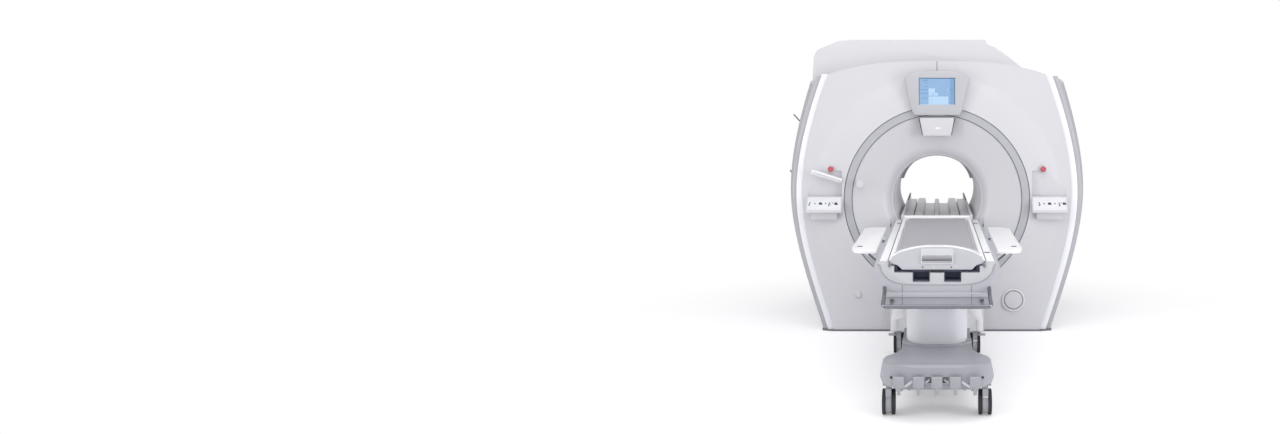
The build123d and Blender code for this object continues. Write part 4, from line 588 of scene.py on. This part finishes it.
forkLook = {"markHigh": 0.011, "markProud": 0.0014, "markHalf": 0.0155, "fairing": 0.0705,
            "marks": {"front": 0.1185, "rear": 0.105},
            "tab": {"x": (0.300, 0.356), "y": (-1.512, -1.488), "z": (0.143, 0.158), "soft": 0.003},
            "arm": {"y": (-1.506, -1.470), "z": (0.147, 0.156), "past": 0.002, "soft": 0.002}}


def makeForkTrim(end, hand):
    look = forkLook
    low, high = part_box(f"caster_wheels_{end}_{hand}")
    x, y, z = [(a + b) / 2 for a, b in zip(low, high)]
    side = -1 if hand == "left" else 1
    parts = []
    if hand == "right":
        rise = math.asin((look["marks"][end] - z) / look["fairing"])
        reach = look["fairing"] + look["markProud"] / 2
        cy, cz = y - reach * math.cos(rise), z + reach * math.sin(rise)
        half = look["markHigh"] / 2
        mark = addBlock("mark", (x - look["markHalf"], cy - look["markProud"], cz - half),
                        (x + look["markHalf"], cy + look["markProud"], cz + half), lean=-math.degrees(rise))
        parts.append(paint(mark, "markWhiteAndHighlight"))
    if end == "rear":
        tabLook, armLook = look["tab"], look["arm"]
        tab = sideBlock("tab", side, tabLook["x"], tabLook["y"], tabLook["z"])
        softenEdges(tab, tabLook["soft"])
        reach = abs(x) - armLook["past"], tabLook["x"][0] + armLook["past"]
        arm = sideBlock("arm", side, reach, armLook["y"], armLook["z"])
        softenEdges(arm, armLook["soft"])
        parts += [paint(tab, "forkNylon"), paint(arm, "forkNylon")]
    if parts:
        finishPiece(joinPieces(f"fork_trim_{end}_{hand}", parts), f"fork_{end}_{hand}", "caster_grey")


for end in ("front", "rear"):
    for hand in ("left", "right"):
        makeForkTrim(end, hand)
print("fork trims ready")


# Mattress pad on the cradle: coated fabric over foam, swollen by a short simulation

padLook = {"side": 0.004, "under": 0.0006, "crown": 0.004, "corner": 0.016, "edge": 0.007, "voxel": 0.006,
           "pressure": 4.0, "stiff": 40, "frames": 20, "cap": 0.005, "keep": 0.24, "fill": 0.85}


def makePad():
    look = padLook
    low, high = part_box("cradle_pad")
    pad = addBlock("mattress_pad", (low[0] + look["side"], low[1] + look["side"], low[2] + look["under"]),
                   (high[0] - look["side"], high[1] - look["side"], high[2] - look["crown"]))
    roundLong(pad, 2, look["corner"])
    softenEdges(pad, look["edge"], 4)
    useModifier(pad, "REMESH", mode="VOXEL", voxel_size=look["voxel"], use_smooth_shade=True)
    swell(pad)
    useModifier(pad, "DECIMATE", ratio=look["keep"])
    useModifier(pad, "SUBSURF", levels=1, render_levels=1)
    for vert in pad.data.vertices:
        vert.co.z = max(vert.co.z, low[2])
    paint(pad, "padFabric")
    finishPiece(pad, "cradle_carriage", "pad_grey", "cradle_pad")


def swell(pad):
    # Cloth under pressure, applied, with no point moved further than the cap
    start = [vert.co.copy() for vert in pad.data.vertices]
    makeActive(pad)
    cloth = pad.modifiers.new("swell", "CLOTH")
    cloth.settings.use_pressure = True
    cloth.settings.uniform_pressure_force = padLook["pressure"]
    cloth.settings.effector_weights.gravity = 0.0
    cloth.settings.tension_stiffness = padLook["stiff"]
    cloth.settings.compression_stiffness = padLook["stiff"]
    cloth.collision_settings.use_collision = False
    cloth.point_cache.frame_end = padLook["frames"]
    for step in range(1, padLook["frames"] + 1):
        bpy.context.scene.frame_set(step)
    bpy.ops.object.modifier_apply(modifier=cloth.name)
    bpy.context.scene.frame_set(1)
    for vert, first in zip(pad.data.vertices, start):
        move = vert.co - first
        if move.length > padLook["cap"]:
            vert.co = first + move.normalized() * padLook["cap"]


makePad()
print("pad ready")


# Push bar: one bent chrome tube with its two brackets

barLook = {"radius": 0.0115, "ringSteps": 8, "bracketX": 0.256, "bracketR": 0.009, "near": -2.9143,
           "collar": {"grow": 1.7, "long": 0.006, "soft": 0.0015},
           "route": [(0.0, -3.070, 0.688), (0.262, -3.070, 0.688), (0.297, -3.069, 0.689),
                     (0.3005, -3.045, 0.702), (0.294, -2.990, 0.738), (0.298, -2.9143, 0.764)]}


def makePushBar():
    look, collarLook = barLook, barLook["collar"]
    half = look["route"]
    points = [(-x, y, z) for x, y, z in reversed(half[1:])] + half
    parts = [paint(addTube("pushBarTube", points, look["radius"], look["ringSteps"]), "chromeTube")]
    _, far, z = half[0]
    near = look["near"]
    for side in (-1, 1):
        x = side * look["bracketX"]
        bracket = addRod("bracket", (x, far, z), (x, near, z), look["bracketR"])
        collar = addRod("collar", (x, near - collarLook["long"], z), (x, near, z),
                        look["bracketR"] * collarLook["grow"])
        softenEdges(collar, collarLook["soft"])
        parts += [paint(bracket, "chromeTube"), paint(collar, "chromeTube")]
    finishPiece(joinPieces("bent_push_bar", parts), "table_top", "chrome_bar", "push_bar")


makePushBar()
print("push bar ready")


# Foot end: raised frame round the hand slot, screws, latch tabs and the rubber stop under the panel

footLook = {
    "frame": {"half": 0.0915, "low": 0.9045, "high": 0.992, "proud": 0.005, "corner": 0.010, "soft": 0.0016},
    "slot": {"half": 0.0855, "low": 0.9095, "high": 0.9525, "reach": 0.02, "corner": 0.009},
    "screw": {"x": 0.081, "z": 0.885, "radius": 0.0042, "proud": 0.0012, "soft": 0.0006},
    "root": 0.002,
    "tab": {"x": (0.2635, 0.2755), "y": (-2.9245, -2.9195), "z": (0.884, 0.922), "soft": 0.0015},
    "stop": {"low": (-0.036, -2.916, 0.8535), "high": (0.036, -2.865, 0.8693), "soft": 0.002},
    "crown": {"radius": 0.0062, "ringSteps": 6, "set": 0.0052,
              "route": [(0.0, 1.0045), (0.090, 1.0028), (0.165, 0.9870), (0.226, 0.9690), (0.250, 0.9480)]},
    "railEnd": {"x": (0.2262, 0.2425), "y": (-2.8628, -2.8606), "z": (0.8535, 0.8945), "soft": 0.0006},
}


def makeRoundedPlate(name, half, low, high, front, back, corner):
    # A plate that faces the foot end, with its four long corners rounded
    plate = addBlock(name, (-half, front, low), (half, back, high))
    roundLong(plate, 1, corner)
    return plate


def makePanelCrown(face):
    # A rounded bead along the panel's arched top
    look = footLook["crown"]
    arch = [(-x, z) for x, z in reversed(look["route"])] + look["route"][1:]
    points = [(x, face + look["set"], z) for x, z in arch]
    bead = addTube("panel_crown", points, look["radius"], look["ringSteps"])
    finishPiece(paint(bead, "tableAbs"), "cradle_carriage", "table_white")


def makeMirrored(name, look, finishName, body, slot, steps=3):
    # The same softened block on both sides
    parts = []
    for side in (-1, 1):
        part = sideBlock(name, side, look["x"], look["y"], look["z"])
        softenEdges(part, look["soft"], steps)
        parts.append(paint(part, finishName))
    finishPiece(joinPieces(name, parts), body, slot)


def makeFootEnd():
    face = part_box("foot_panel")[0][1]
    look, slot, root = footLook["frame"], footLook["slot"], footLook["root"]
    rim = makeRoundedPlate("rim", look["half"], look["low"], look["high"],
                           face - look["proud"], face + root, look["corner"])
    cutter = makeRoundedPlate("cutter", slot["half"], slot["low"], slot["high"],
                              face - slot["reach"], face + slot["reach"], slot["corner"])
    cutAway(rim, cutter)
    softenEdges(rim, look["soft"])
    finishPiece(paint(rim, "paleAbsAndLipHighlight"), "cradle_carriage", "table_white")
    makePanelCrown(face)
    look = footLook["screw"]
    screws = []
    for side in (-1, 1):
        x, z = side * look["x"], look["z"]
        screw = addRod("screw", (x, face - look["proud"], z), (x, face + root, z), look["radius"], 20)
        softenEdges(screw, look["soft"], 2)
        screws.append(paint(screw, "symbolInk"))
    finishPiece(joinPieces("panel_screws", screws), "cradle_carriage", "steel")
    makeMirrored("latch_tabs", footLook["tab"], "latchGrey", "table_top", "table_grey")
    look = footLook["stop"]
    bar = addBlock("panel_stop", look["low"], look["high"])
    softenEdges(bar, look["soft"])
    finishPiece(paint(bar, "tyreRubber"), "table_top", "liner_dark")
    makeMirrored("rail_end_plates", footLook["railEnd"], "linerPp", "table_top", "liner_dark", 2)


makeFootEnd()
print("foot end ready")


# Small printed dashes, knobs, and dark rods that paint the shade under the arm hangers

dashLook = {
    "rails": {"body": "table_top", "size": (0.034, 0.036),
              "at": [(-0.296, -0.984), (0.302, -0.984), (0.306, -2.52)]},
    "boardLeft": {"body": "arm_left", "size": (0.032, 0.036), "at": [(-0.492, -2.258)]},
    "boardRight": {"body": "arm_right", "size": (0.032, 0.036), "at": [(0.492, -2.258)]},
}
dashZ = (0.909, 0.9106)
dashSoft = 0.0003
knobLook = {"x": 0.3755, "root": 0.352, "radius": 0.009, "z": 0.885, "soft": 0.002,
            "left": -1.837, "right": -1.718}
hangerShadeLook = {"high": (0.432, 0.875), "low": (0.383, 0.834), "y": -2.3565, "radius": 0.0055, "soft": 0.0015}


def makeDashes():
    for name, look in dashLook.items():
        wide, deep = [size / 2 for size in look["size"]]
        marks = []
        for x, y in look["at"]:
            mark = addBlock("dash", (x - wide, y - deep, dashZ[0]), (x + wide, y + deep, dashZ[1]))
            softenEdges(mark, dashSoft, 2)
            marks.append(paint(mark, "symbolInk"))
        finishPiece(joinPieces("dashes_" + name, marks), look["body"], "table_white")


def makeKnobsAndHangerShade():
    knobs = []
    for side, hand in ((-1, "left"), (1, "right")):
        look = knobLook
        y, z = look[hand], look["z"]
        knob = addRod("knob", (side * look["root"], y, z), (side * look["x"], y, z), look["radius"], 24)
        softenEdges(knob, look["soft"])
        knobs.append(paint(knob, "knobDarkAndHangerShade"))
        # a dark rod on the hanger's underside: painted shade
        look = hangerShadeLook
        ends = [(side * x, look["y"], z) for x, z in (look["high"], look["low"])]
        shadeRod = addRod("hanger_shade_" + hand, *ends, look["radius"], 20)
        softenEdges(shadeRod, look["soft"])
        finishPiece(paint(shadeRod, "knobDarkAndHangerShade"), "arm_" + hand, "table_white")
    finishPiece(joinPieces("rail_knobs", knobs), "table_top", "table_grey")


makeDashes()
makeKnobsAndHangerShade()
print("dashes, knobs and hanger_shades ready")


# Strips: dark seams of the ring, the covers and the skirt, inserts of the guide rails,
# and the caps over the pockets behind the light strips' upper ends

stripSoft = 0.0003
stripLook = {
    "ringJoint": {"body": "gantry", "slot": "trim_grey",
                  "boxes": [((-0.0012, -0.8066, 1.7565), (0.0012, -0.804, 1.8155))]},
    "coverSeam": {"body": "gantry", "slot": "trim_grey",
                  "boxes": [((-0.0022, -0.7654, 2.099), (0.0022, -0.760, 2.176))]},
    "skirtSeams": {"body": "table_top", "slot": "table_grey", "mirror": True,
                   "boxes": [((0.1962, -2.9157, 0.6605), (0.1980, -2.912, 0.7120)),
                             ((0.1962, -2.9267, 0.7170), (0.1980, -2.924, 0.7350)),
                             ((0.1962, -2.9147, 0.7400), (0.1980, -2.912, 0.7815))]},
    "cradleGaps": {"body": "table_top", "slot": "liner_dark", "mirror": True,
                   "boxes": [((0.2795, -2.858, 0.9080), (0.2840, -0.714, 0.9108))]},
    "guideInserts": {"body": "gantry", "slot": "liner_dark", "mirror": True,
                     "boxes": [((0.2725, 0.68, 0.9435), (0.2795, 1.46, 0.9545))]},
    "cornerCaps": {"body": "gantry", "slot": "gantry_white", "mirror": True, "finish": "coverPaint",
                   "boxes": [((0.868, -0.714, 2.002), (0.998, -0.602, 2.018))]},
}


def makeStrips():
    for name, look in stripLook.items():
        parts = []
        for low, high in look["boxes"]:
            for side in (-1, 1) if look.get("mirror") else (1,):
                strip = sideBlock("strip", side, *zip(low, high))
                parts.append(paint(strip, look.get("finish", "seamShadow")))
        piece = joinPieces(name, parts)
        softenEdges(piece, stripSoft, 2)
        finishPiece(piece, look["body"], look["slot"])


makeStrips()
print("strips ready")


# Turned rings: gaskets on both edges of the grey ring, a pale lip at the bore, the port's groove and its pale
# rim
# The bore's pale lip and the port's white rim are painted highlights

ringSteps = {"round": 192, "thick": 10}
ringLook = {
    "ringGaskets": {"centre": (0.0, 0.0, 1.075), "finish": "seamShadow", "slot": "trim_grey",
                    "rings": [(0.7437, 0.0018, -0.8060), (0.6787, 0.0016, -0.8045)]},
    # a rounded lip, paler than the funnel round it: a painted highlight
    "boreLipHighlight": {"centre": (0.0, 0.0, 1.075), "finish": "paleAbsAndLipHighlight", "slot": "gantry_white",
                "rings": [(0.3740, 0.0150, -0.6410)]},
    "portGroove": {"centre": (0.620, 0.0, 0.262), "finish": "latchGrey", "slot": "gantry_white",
                   "rings": [(0.0757, 0.0030, -0.7880)]},
    # the port's raised rim, painted white all round: a painted highlight
    "portRimHighlight": {"centre": (0.620, 0.0, 0.262), "finish": "markWhiteAndHighlight", "slot": "gantry_white",
                "rings": [(0.0868, 0.0042, -0.7870)]},
}


def makeRings():
    for name, look in ringLook.items():
        x, _, z = look["centre"]
        parts = []
        for radius, thick, y in look["rings"]:
            clearSelection()
            bpy.ops.mesh.primitive_torus_add(location=(x, y, z), rotation=(math.radians(90), 0, 0),
                                             major_radius=radius, minor_radius=thick,
                                             major_segments=ringSteps["round"],
                                             minor_segments=ringSteps["thick"])
            parts.append(paint(settle(bpy.context.object, name), look["finish"]))
        finishPiece(joinPieces(name, parts), "gantry", look["slot"])


makeRings()
print("rings ready")


# A small white bar and side seams on the alignment housing, and the sleeve of the cable rest

fittingLook = {
    "whiteBar": {"low": (-0.013, -0.8518, 1.640), "high": (0.029, -0.849, 1.656), "soft": 0.0012},
    "seam": {"x": 0.1285, "y": (-0.8465, -0.795), "z": (1.592, 1.730), "wide": 0.0032, "tilt": 11.6,
             "soft": 0.0004},
    "sleeve": {"left": (-0.995, -0.8290, 1.305), "right": (-0.757, -0.8290, 1.232), "radius": 0.0195,
               "soft": 0.007},
}


def makeFittings():
    look = fittingLook["whiteBar"]
    whiteBar = addBlock("housing_white_bar", look["low"], look["high"])
    softenEdges(whiteBar, look["soft"])
    finishPiece(paint(whiteBar, "markWhiteAndHighlight"), "gantry", "trim_grey")
    look = fittingLook["seam"]
    seams = []
    for side in (-1, 1):
        x = side * look["x"]
        seam = addBlock("seam", (x - look["wide"] / 2, look["y"][0], look["z"][0]),
                        (x + look["wide"] / 2, look["y"][1], look["z"][1]), tilt=side * look["tilt"])
        softenEdges(seam, look["soft"], 2)
        seams.append(paint(seam, "seamShadow"))
    finishPiece(joinPieces("housing_seams", seams), "gantry", "trim_grey")
    look = fittingLook["sleeve"]
    sleeve = addRod("rest_sleeve", look["left"], look["right"], look["radius"], 40)
    softenEdges(sleeve, look["soft"], 4)
    finishPiece(paint(sleeve, "markWhiteAndHighlight"), "gantry", "gantry_white")


makeFittings()
print("fittings ready")


# Skirt under the table's foot end: a darker panel with rounded ends, painted shade on the shell's lower face

skirtShadeLook = {"half": 0.294, "z": (0.6625, 0.7105), "y": (-2.9150, -2.911), "corner": 0.006, "soft": 0.0008}


def makeSkirtShade():
    look = skirtShadeLook
    panel = makeRoundedPlate("skirt_shade_panel", look["half"], *look["z"], *look["y"], look["corner"])
    softenEdges(panel, look["soft"], 2)
    finishPiece(paint(panel, "greyAbsAndSkirtShade"), "table_top", "table_grey")


makeSkirtShade()
print("skirt ready")


# Hood over the front casters: the white yoke behind the pedals and two dark plugs

hoodLook = {
    "plug": {"x": 0.260, "y": (-2.983, -2.971), "z": 0.262, "radius": 0.0075, "soft": 0.001},
    "yoke": {"deep": 0.013, "wide": 0.014, "soft": 0.002,
             # start, end and front face of each bar
             "bars": [((-0.184, 0.212), (-0.137, 0.244), -2.9985), ((-0.076, 0.224), (-0.040, 0.247), -2.975),
                      ((0.076, 0.224), (0.040, 0.247), -2.975), ((0.200, 0.203), (0.140, 0.240), -2.9985)]},
}


def makeHoodTrim():
    plugs = []
    look = hoodLook["plug"]
    for side in (-1, 1):
        x, (front, back), z = side * look["x"], look["y"], look["z"]
        plug = addRod("plug", (x, front, z), (x, back, z), look["radius"], 24)
        softenEdges(plug, look["soft"])
        plugs.append(paint(plug, "seamShadow"))
    finishPiece(joinPieces("hood_plugs", plugs), "table_base", "liner_dark")
    look = hoodLook["yoke"]
    bars = []
    for (x0, z0), (x1, z1), front in look["bars"]:
        long, wide = math.hypot(x1 - x0, z1 - z0) / 2, look["wide"] / 2
        x, z = (x0 + x1) / 2, (z0 + z1) / 2
        tilt = -math.degrees(math.atan2(z1 - z0, x1 - x0))
        back = front + look["deep"]
        bar = addBlock("bar", (x - long, front, z - wide), (x + long, back, z + wide), tilt=tilt)
        softenEdges(bar, look["soft"])
        bars.append(paint(bar, "markWhiteAndHighlight"))
    finishPiece(joinPieces("pedal_yoke", bars), "table_base", "table_white")


makeHoodTrim()
print("hood trim ready")


# Two small cable hooks on the left side cover

hookLook = {"radius": 0.006, "soft": 0.002, "y": (-0.52, -0.50),
            "hooks": [((-1.128, 1.700), (-1.180, 1.761)), ((-1.185, 1.250), (-1.216, 1.300))]}


def makeHooks():
    parts = []
    for (x0, z0), (x1, z1) in hookLook["hooks"]:
        hook = addRod("hook", (x0, hookLook["y"][1], z0), (x1, hookLook["y"][0], z1), hookLook["radius"], 20)
        softenEdges(hook, hookLook["soft"])
        parts.append(paint(hook, "latchGrey"))
    finishPiece(joinPieces("side_hooks", parts), "gantry", "trim_grey")


makeHooks()
print("side hooks ready")


# Stage, light and camera

floorLook = {"size": 60.0, "colour": "#F4F4F6", "centre": (0.0, -1.2, 0.0), "whiteFrom": 1.9, "whiteTo": 3.4,
             "lift": 0.24}


def makeFloor():
    bpy.ops.mesh.primitive_plane_add(size=floorLook["size"], location=(0, 0, 0))
    floor = bpy.context.object
    floor.name = "floor"
    material, tree = newMaterial("paleFloor")
    place = addNode(tree, "ShaderNodeTexCoord").outputs["Object"]
    reach = addNode(tree, "ShaderNodeVectorMath", {1: floorLook["centre"]}, {0: place}, operation="DISTANCE")
    fade = addNode(tree, "ShaderNodeMapRange",
                   {"From Min": floorLook["whiteFrom"], "From Max": floorLook["whiteTo"]},
                   {"Value": reach.outputs["Value"]})
    matte = addNode(tree, "ShaderNodeBsdfDiffuse", {"Color": hexColor(floorLook["colour"])})
    glow = addNode(tree, "ShaderNodeEmission", {"Color": (1, 1, 1, 1), "Strength": 1.0})
    ray = addNode(tree, "ShaderNodeLightPath")
    seen = addNode(tree, "ShaderNodeMath", links={0: fade.outputs["Result"], 1: ray.outputs["Is Camera Ray"]},
                   operation="MULTIPLY")
    lift = addNode(tree, "ShaderNodeMath", {1: floorLook["lift"]}, {0: ray.outputs["Is Camera Ray"]},
                   operation="MULTIPLY")
    pale = addNode(tree, "ShaderNodeEmission", {"Color": (1, 1, 1, 1)}, {"Strength": lift.outputs["Value"]})
    near = addNode(tree, "ShaderNodeAddShader", links={0: matte.outputs["BSDF"], 1: pale.outputs["Emission"]})
    mix = addNode(tree, "ShaderNodeMixShader",
                  links={0: seen.outputs["Value"], 1: near.outputs["Shader"], 2: glow.outputs["Emission"]})
    addNode(tree, "ShaderNodeOutputMaterial", links={"Surface": mix.outputs["Shader"]})
    floor.data.materials.append(material)


lampLooks = {
    "topSoftbox": {"place": (0.0, -4.2, 5.2), "aim": (0, -1.2, 0.9), "size": (7.0, 4.5), "power": 110},
    "ceilingPanel": {"place": (0.0, -1.8, 6.0), "aim": (0, -1.7, 0.9), "size": (7.0, 3.5), "power": 24},
    "frontFill": {"place": (0.0, -9.5, 2.2), "aim": (0, -1.0, 1.1), "size": (6.0, 3.0), "power": 10},
    "leftSoftbox": {"place": (-4.6, -4.6, 1.7), "aim": (0, -1.9, 0.9), "size": (1.6, 3.0), "power": 66},
    "rightSoftbox": {"place": (4.6, -4.6, 1.7), "aim": (0, -1.9, 0.9), "size": (1.6, 3.0), "power": 92},
}
worldLook = {"ambient": 0.62, "colour": "#FFFFFF"}


def makeLight():
    for name, look in lampLooks.items():
        data = bpy.data.lights.new(name, "AREA")
        data.shape = "RECTANGLE"
        data.size, data.size_y = look["size"]
        data.energy = look["power"]
        lamp = bpy.data.objects.new(name, data)
        bpy.context.scene.collection.objects.link(lamp)
        lamp.location = look["place"]
        aim = Vector(look["aim"]) - Vector(look["place"])
        lamp.rotation_euler = aim.to_track_quat("-Z", "Y").to_euler()
    world = bpy.data.worlds.new("studio")
    bpy.context.scene.world = world
    world.use_nodes = True
    tree = world.node_tree
    tree.nodes.clear()
    ray = addNode(tree, "ShaderNodeLightPath")
    clear = addNode(tree, "ShaderNodeMath",
                    links={0: ray.outputs["Is Camera Ray"], 1: ray.outputs["Is Transmission Ray"]},
                    operation="MAXIMUM")
    ambient = addNode(tree, "ShaderNodeBackground",
                      {"Color": hexColor(worldLook["colour"]), "Strength": worldLook["ambient"]})
    white = addNode(tree, "ShaderNodeBackground", {"Color": (1, 1, 1, 1), "Strength": 1.0})
    mix = addNode(tree, "ShaderNodeMixShader",
                  links={0: clear.outputs["Value"], 1: ambient.outputs["Background"],
                         2: white.outputs["Background"]})
    addNode(tree, "ShaderNodeOutputWorld", links={"Surface": mix.outputs["Shader"]})


cameraLook = {"place": (0.0, -7.92, 1.714), "pitch": 6.2, "lens": 25.12, "sensor": 36.0, "shiftX": -0.232}


def makeCamera():
    data = bpy.data.cameras.new("camera")
    data.sensor_width = cameraLook["sensor"]
    data.lens = cameraLook["lens"]
    data.shift_x = cameraLook["shiftX"]
    camera = bpy.data.objects.new("camera", data)
    bpy.context.scene.collection.objects.link(camera)
    camera.location = cameraLook["place"]
    camera.rotation_euler = (math.radians(90 - cameraLook["pitch"]), 0, 0)
    bpy.context.scene.camera = camera


bpy.context.scene.view_settings.view_transform = "Standard"
makeFloor()
makeLight()
makeCamera()
print("stage, light and camera ready")
